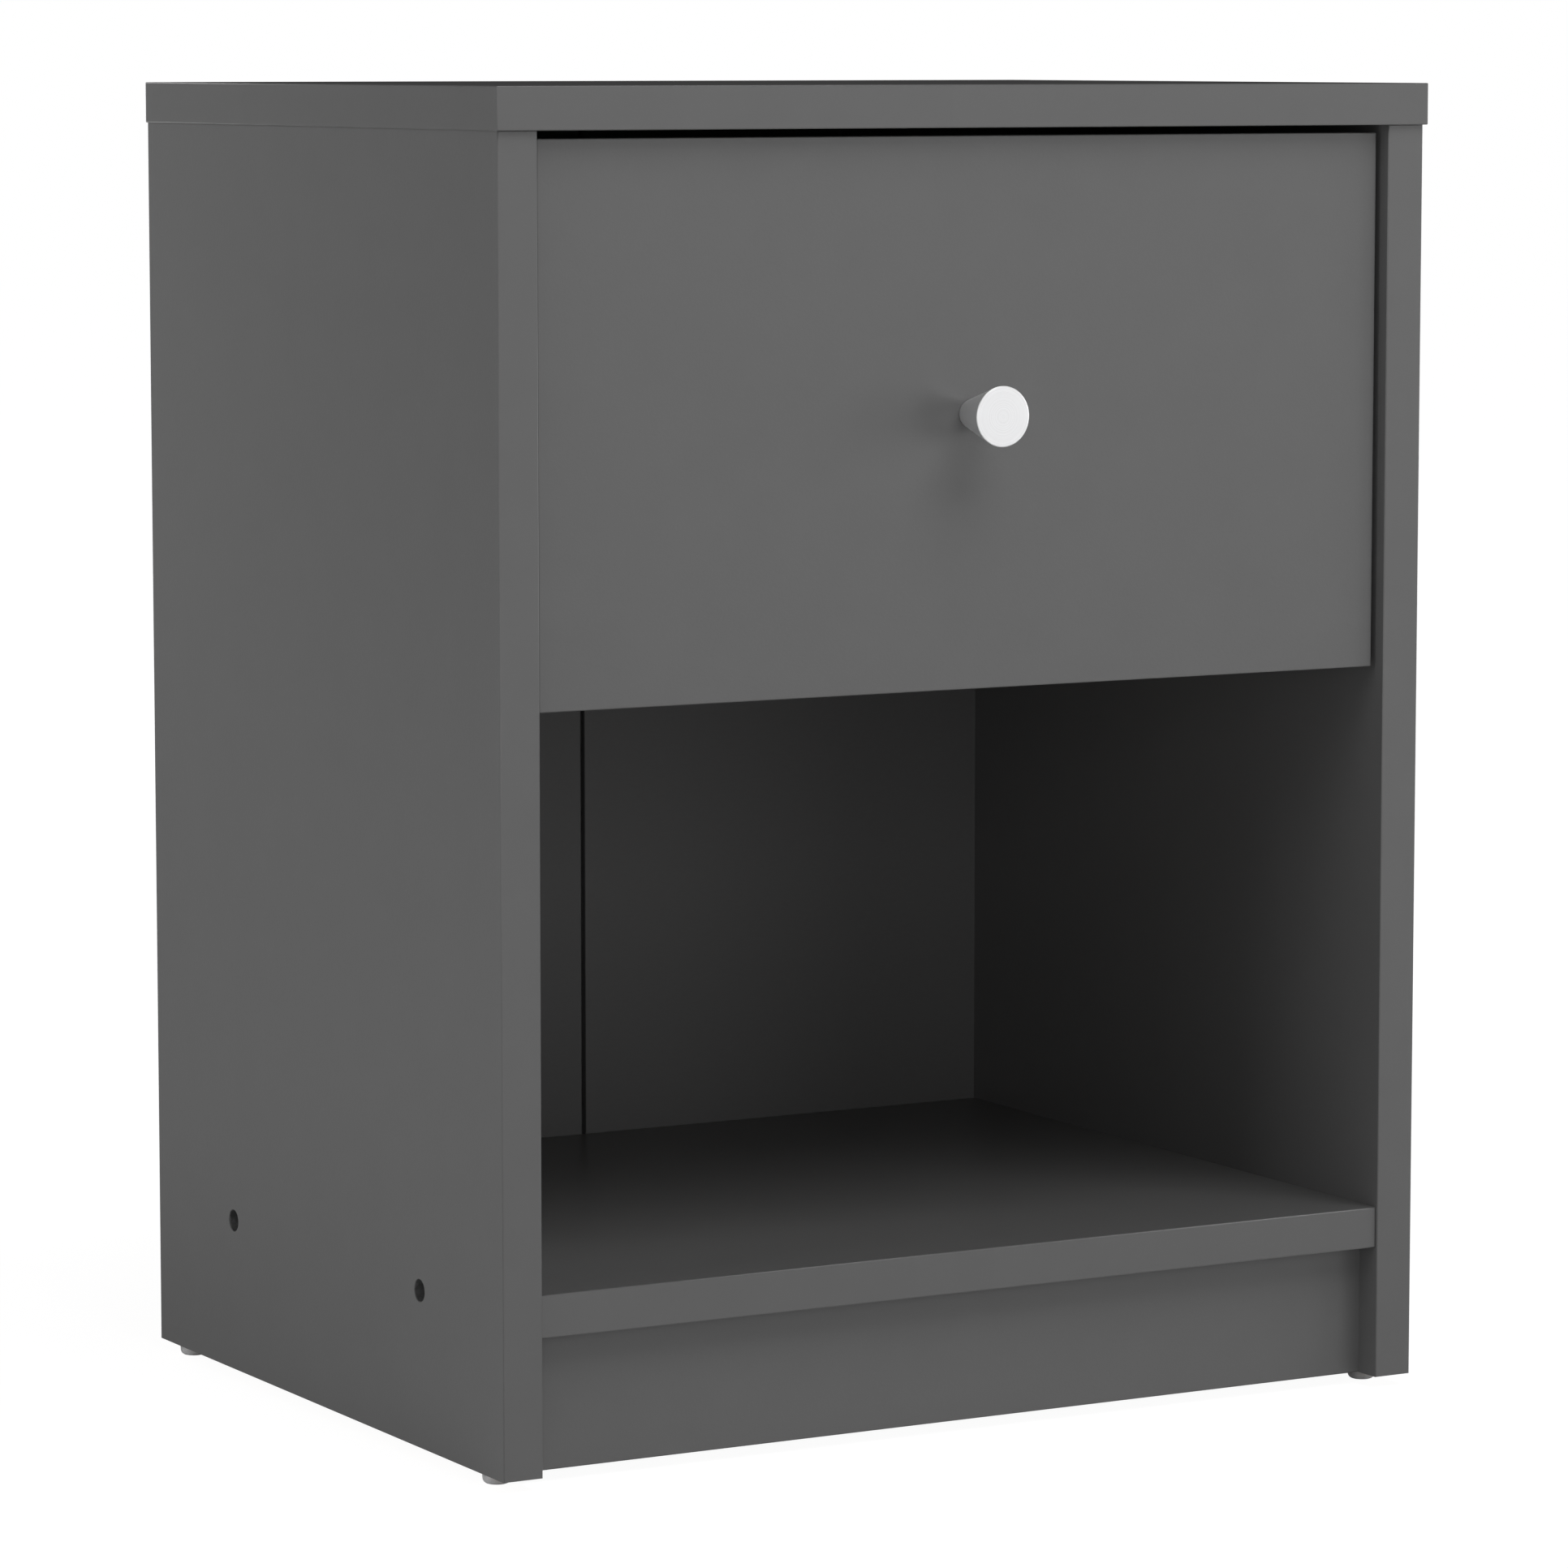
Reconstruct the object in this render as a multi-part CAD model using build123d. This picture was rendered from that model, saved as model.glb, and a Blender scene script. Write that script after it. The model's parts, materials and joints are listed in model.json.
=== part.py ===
"""Bedside cabinet: one drawer on roller slides above an open shelf, in melamine-faced chipboard.

Millimetres. The front faces -Y, +X is to the right as seen from the front and +Z is up. The origin is on
the floor, under the middle of the whole cabinet, knob included.
"""

import os
from math import sqrt

from build123d import *

# Carcass
overall_width = 403.0  # top panel, side to side
top_depth = 309.0  # top panel, front edge to rear edge
side_height = 491.2  # side panels, underside to top panel
board = 16.0  # thickness of the chipboard panels
edge_round = 0.4  # radius along the edges of every board
top_side_overhang = 1.0  # top panel past each side panel
top_front_overhang = 2.0  # top panel past the side panels' front edges
shelf_recess = 1.2  # bottom shelf behind the side panels' front edges
plinth_height = 51.8
plinth_recess = 12.0  # plinth behind the side panels' front edges

# Folding hardboard back
back_thickness = 3.0
back_side_margin = 3.0  # from the back's edge to the side panel's outer face
back_top_margin = 4.0  # from the back's edge to the top panel's upper face
back_bottom_margin = 1.2  # from the back's edge to the bottom shelf's underside
fold_place = -6.5  # middle of the fold, across the cabinet
fold_gap = 1.8
tape_width = 30.0
tape_thickness = 0.2

# Drawer
drawer_recess = 5.0  # drawer front behind the side panels' front edges
drawer_front_height = 207.0
drawer_side_gap = 2.3  # drawer front to each side panel
drawer_top_gap = 3.0  # drawer front to the top panel
drawer_board = 12.0  # thickness of the drawer's sides and back
drawer_side_height = 150.0
drawer_rise = 14.0  # drawer sides' underside above the drawer front's lower edge
drawer_rear_space = 36.0  # drawer box to the cabinet's back
drawer_bottom_thickness = 3.0
drawer_bottom_rise = 10.0  # drawer bottom above the drawer sides' underside
groove_depth = 6.2
groove_play = 0.2  # room round the drawer bottom in its grooves

# Knob
knob_length = 23.0
knob_base_radius = 5.3
knob_face_radius = 11.5
knob_edge = 0.6  # bevel round the face
knob_thread_radius = 2.0
knob_thread_depth = 14.0
knob_screw_spare = 2.0  # thread left empty past the screw's end

# Roller slides
slide_width = 12.5  # from side panel to drawer side
slide_height = 25.0  # cabinet rail, over both flanges
sheet = 1.0  # steel thickness of the rails
rail_flange = 10.0  # cabinet rail's flanges, web included
rail_front_gap = 2.0  # rails behind the drawer front
drawer_rail_reach = 3.0  # drawer rail's running flange to the side panel
running_height = 21.0  # underside of the running flange above the rail's floor
rolling_gap = 0.3  # a roller to the track that it runs on
roller_radius = 10.0
roller_width = 7.0
roller_side_gap = 3.2  # roller to side panel
roller_recess_depth = 1.6
roller_recess_radius = 4.4
roller_edge = 0.5  # bevel round the tread
end_play = 0.3  # roller to shoulder and to rivet head
axle_radius = 2.5
axle_head_radius = 4.0
axle_head = 1.0
front_roller_setback = 12.0  # roller axis behind the cabinet rail's front end
rear_roller_setback = 12.0  # roller axis before the drawer rail's rear end
rail_overlap = 63.0  # length of the rails still one inside the other when the drawer is open
stop_height = 3.0  # bump that holds the drawer in at full travel
stop_length = 3.0
rear_stop_height = 14.0
rail_screw_setback = 36.0  # first and last screw from the rail's ends

# Fasteners
fit = 0.05  # radial clearance of a fastener in its hole
loose_fit = 0.2  # radial clearance where a bolt passes through freely
cam_radius = 7.5
cam_setback = 24.0  # cam axis from the joint
cam_beyond_head = 0.6  # cam pocket past the head of the cam bolt
drawer_cam_radius = 6.0
cam_bolt_thread = 11.0  # cam bolt's length in the other board
cam_bolt_shank_radius = 2.75
cam_bolt_neck_radius = 1.9
cam_bolt_head_radius = 3.4
cam_bolt_bore_radius = 3.5
cam_grip = 2.0  # cam bolt's head each side of the cam's axis
screw_radius = 2.5
dowel_radius = 4.0
dowel_length = 30.0
dowel_short_end = 10.0  # dowel's length in the board that it enters face on
dowel_bevel = 1.0
joint_setback = 50.0  # top joint's cam bolts from the side panel's ends
dowel_from_bolt = 32.0
shelf_screw_setback = 69.1  # front shelf screw behind the side panel's front edge
shelf_screw_spacing = 166.2
shelf_screw_hole_radius = 4.2
shelf_screw_head_radius = 4.0
shelf_screw_head = 4.0
shelf_screw_seat = 5.0  # board left under the head
shelf_screw_grip = 34.0  # length in the shelf
plinth_dowel_spacing = 20.0
glide_radius = 5.6
glide_height = 4.8
glide_taper = 0.4
glide_round = 1.8
glide_setback = 14.3  # rear glide's centre before the side panel's rear edge
front_glide_setback = 21.6  # front glide's centre behind the side panel's front edge
glide_pin_radius = 1.0
glide_pin_length = 14.0
glide_pin_in_glide = 3.0
glide_pin_point = 2.0  # length of the pin's taper
nail_radius = 0.7
nail_length = 18.0
nail_head_radius = 1.7
nail_head = 0.6
nail_end_margin = 40.0  # first and last nail from the ends of a row
nails_per_side = 5
nails_per_edge = 4
rail_screw_radius = 1.75
rail_screw_length = 12.0
rail_screw_head_radius = 3.4
rail_screw_head = 1.5
drawer_rail_screw_length = 9.0
back_screw_radius = 1.75
back_screw_length = 34.0
back_screw_head_radius = 3.5
back_screw_head = 2.4
drawer_joint_low = 38.0  # lower fastener of a drawer corner above the drawer sides' underside
drawer_joint_high = 118.0
bottom_nail_radius = 0.7
bottom_nail_length = 14.0
recess_width = 1.0  # arm of a cross recess
recess_share = 0.6  # of the head's radius and height that a recess takes
cam_recess_depth = 2.0

# Places across the cabinet
side_outer = overall_width / 2 - top_side_overhang
side_inner = side_outer - board
side_middle = side_outer - board / 2
drawer_outer = side_inner - slide_width
drawer_inner = drawer_outer - drawer_board
drawer_middle = drawer_outer - drawer_board / 2
drawer_front_half = side_inner - drawer_side_gap
back_half = side_outer - back_side_margin
cam_depth = board / 2 + cam_bolt_head_radius + cam_beyond_head
drawer_cam_depth = drawer_board / 2 + cam_bolt_head_radius + cam_beyond_head

# Places from front to rear
top_front = (
    knob_length - top_front_overhang - drawer_recess - top_depth - back_thickness - nail_head
) / 2
side_front = top_front + top_front_overhang
board_rear = top_front + top_depth
back_rear = board_rear + back_thickness
drawer_face = side_front + drawer_recess
box_front = drawer_face + board
box_rear = board_rear - drawer_rear_space
drawer_back_front = box_rear - drawer_board
plinth_front = side_front + plinth_recess
plinth_middle = plinth_front + board / 2
rail_front = box_front + rail_front_gap
rail_rear = box_rear
front_roller_y = rail_front + front_roller_setback
rear_roller_y = rail_rear - rear_roller_setback
drawer_travel = rail_rear - rail_front - rail_overlap
joint_y = (side_front + joint_setback, board_rear - joint_setback)
shelf_screw_y = tuple(side_front + shelf_screw_setback + k * shelf_screw_spacing for k in (0, 1))
shelf_dowel_y = sum(shelf_screw_y) / 2
glide_y = (side_front + front_glide_setback, board_rear - glide_setback)

# Places in height
side_bottom = glide_height
side_top = side_bottom + side_height
top_surface = side_top + board
shelf_bottom = side_bottom + plinth_height
shelf_top = shelf_bottom + board
shelf_middle = shelf_bottom + board / 2
back_bottom = shelf_bottom + back_bottom_margin
back_top = top_surface - back_top_margin
drawer_front_top = side_top - drawer_top_gap
drawer_front_bottom = drawer_front_top - drawer_front_height
knob_z = (drawer_front_top + drawer_front_bottom) / 2
box_bottom = drawer_front_bottom + drawer_rise
box_top = box_bottom + drawer_side_height
floor_bottom = box_bottom + drawer_bottom_rise
floor_top = floor_bottom + drawer_bottom_thickness
rail_floor = box_bottom
rail_screw_z = rail_floor - sheet + slide_height / 2
front_roller_z = rail_floor + running_height - rolling_gap - roller_radius
rear_roller_z = rail_floor + rolling_gap + roller_radius

left, right = -1, 1
sides = {"left": left, "right": right}
up, down = (0, 0, 1), (0, 0, -1)
forwards, backwards = (0, -1, 0), (0, 1, 0)


def outwards(side):
    """Direction from the middle of the cabinet to its left or right."""
    return (side, 0, 0)


def inwards(side):
    """Direction from the left or right to the middle of the cabinet."""
    return (-side, 0, 0)


# Shapes


def block(x, y, z):
    """A box between the two values of x, of y and of z."""
    spans = [sorted(span) for span in (x, y, z)]
    low, high = (Vector(*(span[k] for span in spans)) for k in (0, 1))
    return Pos(*((low + high) / 2)) * Box(*(high - low))


def panel(x, y, z):
    """A board with every edge slightly rounded."""
    plain = block(x, y, z)
    return fillet(plain.edges(), edge_round)


def turned(start, direction, outline):
    """A round body on the axis from start along direction. outline lists (distance, radius)."""
    ends = [(0, outline[0][0])], [(0, outline[-1][0])]
    points = ends[0] + [(radius, distance) for distance, radius in outline] + ends[1]
    half = make_face(Plane.XZ * Polyline(*points, close=True))
    return Plane(origin=start, z_dir=direction) * revolve(half, Axis.Z)


def rod(start, direction, length, radius):
    """A plain round bar from start along direction."""
    return turned(start, direction, [(0, radius), (length, radius)])


def bore(outline):
    """The outline of the hole for a fastener: its own outline with the fit added."""
    wider = [(distance, radius + fit) for distance, radius in outline]
    return wider[:-1] + [(wider[-1][0] + fit, wider[-1][1])]


def drilled(body, places, outline):
    """body with a hole of that outline at each (start, direction)."""
    return body - [turned(start, direction, outline) for start, direction in places]


def placed(places, outline):
    """One round fastener of that outline at each (start, direction)."""
    return [turned(start, direction, outline) for start, direction in places]


def cross_recessed(fastener, start, direction, reach, depth):
    """A fastener with a cross recess in its head. start is the middle of the head's outer face."""
    frame = Plane(origin=start, z_dir=direction) * Pos(0, 0, depth / 2)
    arms = (2 * reach, recess_width), (recess_width, 2 * reach)
    return fastener - [frame * Box(*arm, depth) for arm in arms]


def cross_screws(places, outline, head):
    """Screws with a cross recess. head is the height of the head that outline starts with."""
    reach = recess_share * outline[0][1]
    depth = recess_share * head
    return [
        cross_recessed(turned(start, direction, outline), start, direction, reach, depth)
        for start, direction in places
    ]


def spread(low, high, count):
    """count evenly spaced values from low to high."""
    return [low + (high - low) * k / (count - 1) for k in range(count)]


# Outlines of the fasteners, as (distance, radius) from the end where each is driven


def dowel_outline():
    return [
        (0, dowel_radius - dowel_bevel),
        (dowel_bevel, dowel_radius),
        (dowel_length - dowel_bevel, dowel_radius),
        (dowel_length, dowel_radius - dowel_bevel),
    ]


def dowel_bore():
    return bore([(0, dowel_radius), (dowel_length, dowel_radius)])


def cam_bolt_outline():
    """From the threaded end to the head in the cam."""
    head_start = cam_bolt_thread + cam_setback - cam_grip
    return [
        (0, screw_radius),
        (cam_bolt_thread, screw_radius),
        (cam_bolt_thread, cam_bolt_shank_radius),
        (head_start - cam_grip, cam_bolt_shank_radius),
        (head_start - cam_grip, cam_bolt_neck_radius),
        (head_start, cam_bolt_neck_radius),
        (head_start, cam_bolt_head_radius),
        (head_start + 2 * cam_grip, cam_bolt_head_radius),
    ]


def cam_bolt_bore():
    """Pilot hole in one board, then the wider bore that leads to the cam in the other."""
    return [
        (-fit, screw_radius + fit),
        (cam_bolt_thread, screw_radius + fit),
        (cam_bolt_thread, cam_bolt_bore_radius),
        (cam_bolt_thread + cam_setback, cam_bolt_bore_radius),
    ]


def shelf_screw_outline():
    """From the head's outer face to the point."""
    shank = shelf_screw_head + shelf_screw_seat + shelf_screw_grip
    return [
        (0, shelf_screw_head_radius),
        (shelf_screw_head, shelf_screw_head_radius),
        (shelf_screw_head, screw_radius),
        (shank - 2 * screw_radius, screw_radius),
        (shank, screw_radius / 5),
    ]


def shelf_screw_bore():
    """The open counterbore over the head, then the screw's own hole."""
    sunk = board - shelf_screw_seat - shelf_screw_head
    return [(-sunk, shelf_screw_hole_radius), (shelf_screw_head, shelf_screw_hole_radius)] + bore(
        [point for point in shelf_screw_outline() if point[0] >= shelf_screw_head][1:]
    )


def nail_outline():
    return [
        (0, nail_head_radius),
        (nail_head, nail_head_radius),
        (nail_head, nail_radius),
        (nail_length - 3 * nail_radius, nail_radius),
        (nail_length, nail_radius / 5),
    ]


def rail_screw_outline(length):
    """Pan-headed screw from its head to its point. length is what lies past the head."""
    return [
        (0, rail_screw_head_radius - rail_screw_head / 3),
        (rail_screw_head / 3, rail_screw_head_radius),
        (rail_screw_head, rail_screw_head_radius),
        (rail_screw_head, rail_screw_radius),
        (rail_screw_head + length - 2 * rail_screw_radius, rail_screw_radius),
        (rail_screw_head + length, rail_screw_radius / 5),
    ]


def back_screw_outline():
    """Countersunk screw, from its flat head to its point."""
    return [
        (0, back_screw_head_radius),
        (back_screw_head, back_screw_radius),
        (back_screw_length - 2 * back_screw_radius, back_screw_radius),
        (back_screw_length, back_screw_radius / 5),
    ]


# Where the fasteners go, as (start, direction)


def top_bolt_places(side):
    return [((side * side_middle, y, side_top + cam_bolt_thread), down) for y in joint_y]


def top_dowel_places(side):
    inner_y = (joint_y[0] + dowel_from_bolt, joint_y[1] - dowel_from_bolt)
    return [((side * side_middle, y, side_top + dowel_short_end), down) for y in inner_y]


def shelf_screw_places(side):
    head_face = side_inner + shelf_screw_seat + shelf_screw_head
    return [((side * head_face, y, shelf_middle), inwards(side)) for y in shelf_screw_y]


def shelf_dowel_places(side):
    return [((side * (side_inner + dowel_short_end), shelf_dowel_y, shelf_middle), inwards(side))]


def plinth_dowel_places(side):
    middle = (side_bottom + shelf_bottom) / 2
    start = side * (side_inner + dowel_short_end)
    heights = (middle - plinth_dowel_spacing / 2, middle + plinth_dowel_spacing / 2)
    return [((start, plinth_middle, z), inwards(side)) for z in heights]


def side_nail_places(side):
    heights = spread(back_bottom + nail_end_margin, back_top - nail_end_margin, nails_per_side)
    return [((side * side_middle, back_rear + nail_head, z), forwards) for z in heights]


def edge_nail_places(z):
    """A row of nails into the rear edge of the top panel or the shelf."""
    across = spread(-back_half + nail_end_margin, back_half - nail_end_margin, nails_per_edge)
    return [((x, back_rear + nail_head, z), forwards) for x in across]


def top_nail_places():
    return edge_nail_places(side_top + board / 2 - edge_round)


def shelf_nail_places():
    return edge_nail_places(shelf_middle)


def glide_pin_places(side):
    tip = side_bottom - glide_pin_in_glide + glide_pin_length
    return [((side * side_middle, y, tip), down) for y in glide_y]


def rail_screw_rows():
    return spread(rail_front + rail_screw_setback, rail_rear - rail_screw_setback, 3)


def cabinet_rail_screw_places(side):
    head_face = side_inner - sheet - rail_screw_head
    return [((side * head_face, y, rail_screw_z), outwards(side)) for y in rail_screw_rows()]


def drawer_rail_screw_places(side):
    head_face = box_bottom - sheet - rail_screw_head
    return [((side * drawer_middle, y, head_face), up) for y in rail_screw_rows()]


def drawer_joint_heights():
    return (box_bottom + drawer_joint_low, box_bottom + drawer_joint_high)


def drawer_bolt_places(side):
    start = box_front - cam_bolt_thread
    return [((side * drawer_middle, start, z), backwards) for z in drawer_joint_heights()]


def drawer_back_screw_places(side):
    y = box_rear - drawer_board / 2
    return [((side * drawer_outer, y, z), inwards(side)) for z in drawer_joint_heights()]


def bottom_nail_places():
    y = box_rear - drawer_board / 2
    head_face = floor_bottom - nail_head
    across = spread(nail_end_margin - drawer_inner, drawer_inner - nail_end_margin, 3)
    return [((x, y, head_face), up) for x in across]


def both(places):
    """The places of a fastener on the left, then on the right."""
    return places(left) + places(right)


# Carcass


def cam_hole(side, inner, y, z, radius, depth):
    """A cam's round pocket, from the inner face of a board outwards."""
    return rod((side * inner, y, z), outwards(side), depth, radius + fit)


def top_panel():
    half = overall_width / 2
    body = panel((-half, half), (top_front, board_rear), (side_top, top_surface))
    body = drilled(body, both(top_bolt_places), cam_bolt_bore())
    body = drilled(body, both(top_dowel_places), dowel_bore())
    return drilled(body, top_nail_places(), bore(nail_outline()))


def side_panel(side):
    x = (side * side_inner, side * side_outer)
    body = panel(x, (side_front, board_rear), (side_bottom, side_top))
    cam_z = side_top - cam_setback
    body -= [cam_hole(side, side_inner, y, cam_z, cam_radius, cam_depth) for y in joint_y]
    body = drilled(body, top_bolt_places(side), cam_bolt_bore())
    body = drilled(body, top_dowel_places(side), dowel_bore())
    body = drilled(body, shelf_screw_places(side), shelf_screw_bore())
    body = drilled(body, shelf_dowel_places(side), dowel_bore())
    body = drilled(body, plinth_dowel_places(side), dowel_bore())
    body = drilled(body, cabinet_rail_screw_places(side), bore(rail_screw_outline(rail_screw_length)))
    body = drilled(body, glide_pin_places(side), glide_pin_bore())
    return drilled(body, side_nail_places(side), bore(nail_outline()))


def bottom_shelf():
    y = (side_front + shelf_recess, board_rear)
    body = panel((-side_inner, side_inner), y, (shelf_bottom, shelf_top))
    body = drilled(body, both(shelf_screw_places), shelf_screw_bore())
    body = drilled(body, both(shelf_dowel_places), dowel_bore())
    return drilled(body, shelf_nail_places(), bore(nail_outline()))


def plinth():
    y = (plinth_front, plinth_front + board)
    body = panel((-side_inner, side_inner), y, (side_bottom, shelf_bottom))
    return drilled(body, both(plinth_dowel_places), dowel_bore())


def back_panel(side):
    x = (side * back_half, fold_place + side * fold_gap / 2)
    body = block(x, (board_rear, back_rear), (back_bottom, back_top))
    nails = side_nail_places(side) + [
        (start, direction)
        for start, direction in top_nail_places() + shelf_nail_places()
        if start[0] * side > fold_place * side
    ]
    return drilled(body, nails, bore(nail_outline()))


def back_fold_tape():
    x = (fold_place - tape_width / 2, fold_place + tape_width / 2)
    y = (back_rear, back_rear + tape_thickness)
    return block(x, y, (back_bottom, back_top))


def back_nails():
    places = both(side_nail_places) + top_nail_places() + shelf_nail_places()
    return placed(places, nail_outline())


def glide(side, y):
    """Nail-in glide under a side panel: a low tapered plastic foot with a rounded rim."""
    outline = [(0, glide_radius), (glide_height, glide_radius - glide_taper)]
    body = turned((side * side_middle, y, side_bottom), down, outline)
    rim = body.edges().filter_by(GeomType.CIRCLE).sort_by(Axis.Z)[0]
    body = fillet(rim, glide_round)
    return drilled(body, glide_pin_places(side), glide_pin_bore())


def glide_pin_outline():
    point = glide_pin_radius / 5
    return [(0, point), (glide_pin_point, glide_pin_radius), (glide_pin_length, glide_pin_radius)]


def glide_pin_bore():
    return [(-fit, glide_pin_radius + fit), (glide_pin_length + fit, glide_pin_radius + fit)]


# Cams


def cam(side, inner, depth, radius, centre, towards_bolt):
    """Cam: a disc with a cavity for the bolt's head, a way in for its neck and a cross recess."""
    start = (side * inner, centre[1], centre[2])
    body = rod(start, outwards(side), depth, radius)
    way = Vector(*towards_bolt)
    cavity_start = Vector(*centre) + way * (cam_grip + fit)
    cavity_length = 2 * (cam_grip + fit)
    body -= rod(cavity_start, -way, cavity_length, cam_bolt_head_radius + fit)
    body -= rod(Vector(*centre), way, radius + fit, cam_bolt_neck_radius + loose_fit)
    shank_gap = Vector(*centre) + way * 2 * cam_grip
    body -= rod(shank_gap, way, radius, cam_bolt_shank_radius + loose_fit)
    return cross_recessed(body, start, outwards(side), recess_share * radius, cam_recess_depth)


def top_cam_locks():
    z = side_top - cam_setback
    return [
        cam(side, side_inner, cam_depth, cam_radius, (side * side_middle, y, z), up)
        for side in (left, right)
        for y in joint_y
    ]


def drawer_cam_locks():
    y, depth = box_front + cam_setback, drawer_cam_depth
    return [
        cam(side, drawer_inner, depth, drawer_cam_radius, (side * drawer_middle, y, z), forwards)
        for side in (left, right)
        for z in drawer_joint_heights()
    ]


# Drawer


def drawer_groove():
    """The slot that the drawer bottom slides in, cut from front, sides and nothing else."""
    x = drawer_inner + groove_depth
    z = (floor_bottom, floor_top + groove_play)
    return block((-x, x), (box_front - groove_depth, box_rear + board), z)


def drawer_front():
    x = (-drawer_front_half, drawer_front_half)
    body = panel(x, (drawer_face, box_front), (drawer_front_bottom, drawer_front_top))
    body -= drawer_groove()
    body = drilled(body, both(drawer_bolt_places), cam_bolt_bore())
    return body - rod((0, box_front, knob_z), forwards, board, knob_thread_radius + loose_fit)


def drawer_side(side):
    x = (side * drawer_inner, side * drawer_outer)
    body = panel(x, (box_front, box_rear), (box_bottom, box_top))
    body -= drawer_groove()
    cam_y = box_front + cam_setback
    body -= [
        cam_hole(side, drawer_inner, cam_y, z, drawer_cam_radius, drawer_cam_depth)
        for z in drawer_joint_heights()
    ]
    body = drilled(body, drawer_bolt_places(side), cam_bolt_bore())
    body = drilled(body, drawer_back_screw_places(side), bore(back_screw_outline()))
    screw = rail_screw_outline(drawer_rail_screw_length)
    return drilled(body, drawer_rail_screw_places(side), bore(screw))


def drawer_back():
    y = (drawer_back_front, box_rear)
    body = panel((-drawer_inner, drawer_inner), y, (floor_top, box_top))
    body = drilled(body, both(drawer_back_screw_places), bore(back_screw_outline()))
    return drilled(body, bottom_nail_places(), bore(bottom_nail_outline()))


def drawer_bottom():
    x = drawer_inner + groove_depth - groove_play
    y = (box_front - groove_depth + groove_play, box_rear)
    body = block((-x, x), y, (floor_bottom, floor_top))
    return drilled(body, bottom_nail_places(), bore(bottom_nail_outline()))


def bottom_nail_outline():
    return [
        (0, nail_head_radius),
        (nail_head, nail_head_radius),
        (nail_head, bottom_nail_radius),
        (bottom_nail_length - 3 * bottom_nail_radius, bottom_nail_radius),
        (bottom_nail_length, bottom_nail_radius / 5),
    ]


def knob():
    outline = [
        (0, knob_base_radius),
        (knob_length - knob_edge, knob_face_radius),
        (knob_length, knob_face_radius - knob_edge),
    ]
    body = turned((0, drawer_face, knob_z), forwards, outline)
    return body - rod((0, drawer_face, knob_z), forwards, knob_thread_depth, knob_thread_radius + fit)


def knob_screw():
    """Machine screw from inside the drawer front into the knob."""
    start = (0, box_front + rail_screw_head, knob_z)
    length = rail_screw_head + board + knob_thread_depth - knob_screw_spare
    outline = [
        (0, 2 * knob_thread_radius - rail_screw_head / 3),
        (rail_screw_head / 3, 2 * knob_thread_radius),
        (rail_screw_head, 2 * knob_thread_radius),
        (rail_screw_head, knob_thread_radius),
        (length, knob_thread_radius),
    ]
    return cross_screws([(start, forwards)], outline, rail_screw_head)[0]


# Roller slides


def rail_x(side, near, far):
    """Two distances from the side panel, as places across the cabinet."""
    return (side * (side_inner - near), side * (side_inner - far))


def cabinet_rail(side):
    """C-shaped rail on the side panel, with a bump and a tab that stop the drawer open and shut."""
    y = (rail_front, rail_rear)
    low = rail_floor - sheet
    high = low + slide_height
    body = block(rail_x(side, 0, sheet), y, (low, high))
    body += block(rail_x(side, 0, rail_flange), y, (low, rail_floor))
    body += block(rail_x(side, 0, rail_flange), y, (high - sheet, high))
    drop = rear_roller_z - rail_floor - stop_height
    reach = sqrt(roller_radius**2 - drop**2)
    stop_rear = rear_roller_y - drawer_travel - reach - rolling_gap
    lug = rail_x(side, sheet, rail_flange - sheet)
    body += block(lug, (stop_rear - stop_length, stop_rear), (rail_floor, rail_floor + stop_height))
    tab_front = rear_roller_y + roller_radius + rolling_gap
    body += block(lug, (tab_front, tab_front + sheet), (rail_floor, rail_floor + rear_stop_height))
    body = drilled(body, cabinet_rail_screw_places(side), bore(rail_screw_outline(rail_screw_length)))
    axle_start = (side * side_inner, front_roller_y, front_roller_z)
    return body - rod(axle_start, inwards(side), slide_width / 2, axle_radius + fit)


def drawer_rail(side):
    """Z-shaped rail under the drawer side, whose outer flange runs on the cabinet's roller."""
    y = (rail_front, rail_rear)
    low = box_bottom - sheet
    running = rail_floor + running_height
    web = (slide_width - sheet, slide_width)
    body = block(rail_x(side, *web), y, (low, running + sheet))
    body += block(rail_x(side, drawer_rail_reach, slide_width), y, (running, running + sheet))
    body += block(rail_x(side, slide_width, slide_width + drawer_board), y, (low, box_bottom))
    screw = rail_screw_outline(drawer_rail_screw_length)
    body = drilled(body, drawer_rail_screw_places(side), bore(screw))
    axle_start = (side * drawer_outer, rear_roller_y, rear_roller_z)
    return body - rod(axle_start, outwards(side), slide_width / 2, axle_radius + fit)


def axle_outline(web_to_roller):
    """Riveted axle from the back of the rail's web: shank, shoulder, journal and rivet head."""
    shoulder_end = sheet + web_to_roller - end_play
    head_start = sheet + web_to_roller + roller_width - roller_recess_depth + end_play
    return [
        (0, axle_radius),
        (sheet, axle_radius),
        (sheet, axle_head_radius),
        (shoulder_end, axle_head_radius),
        (shoulder_end, axle_radius),
        (head_start, axle_radius),
        (head_start, axle_head_radius),
        (head_start + axle_head, axle_head_radius),
    ]


def cabinet_roller_axle(side):
    start = (side * side_inner, front_roller_y, front_roller_z)
    return turned(start, inwards(side), axle_outline(roller_side_gap - sheet))


def drawer_roller_axle(side):
    start = (side * drawer_outer, rear_roller_y, rear_roller_z)
    gap = slide_width - sheet - roller_side_gap - roller_width
    return turned(start, outwards(side), axle_outline(gap))


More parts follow.
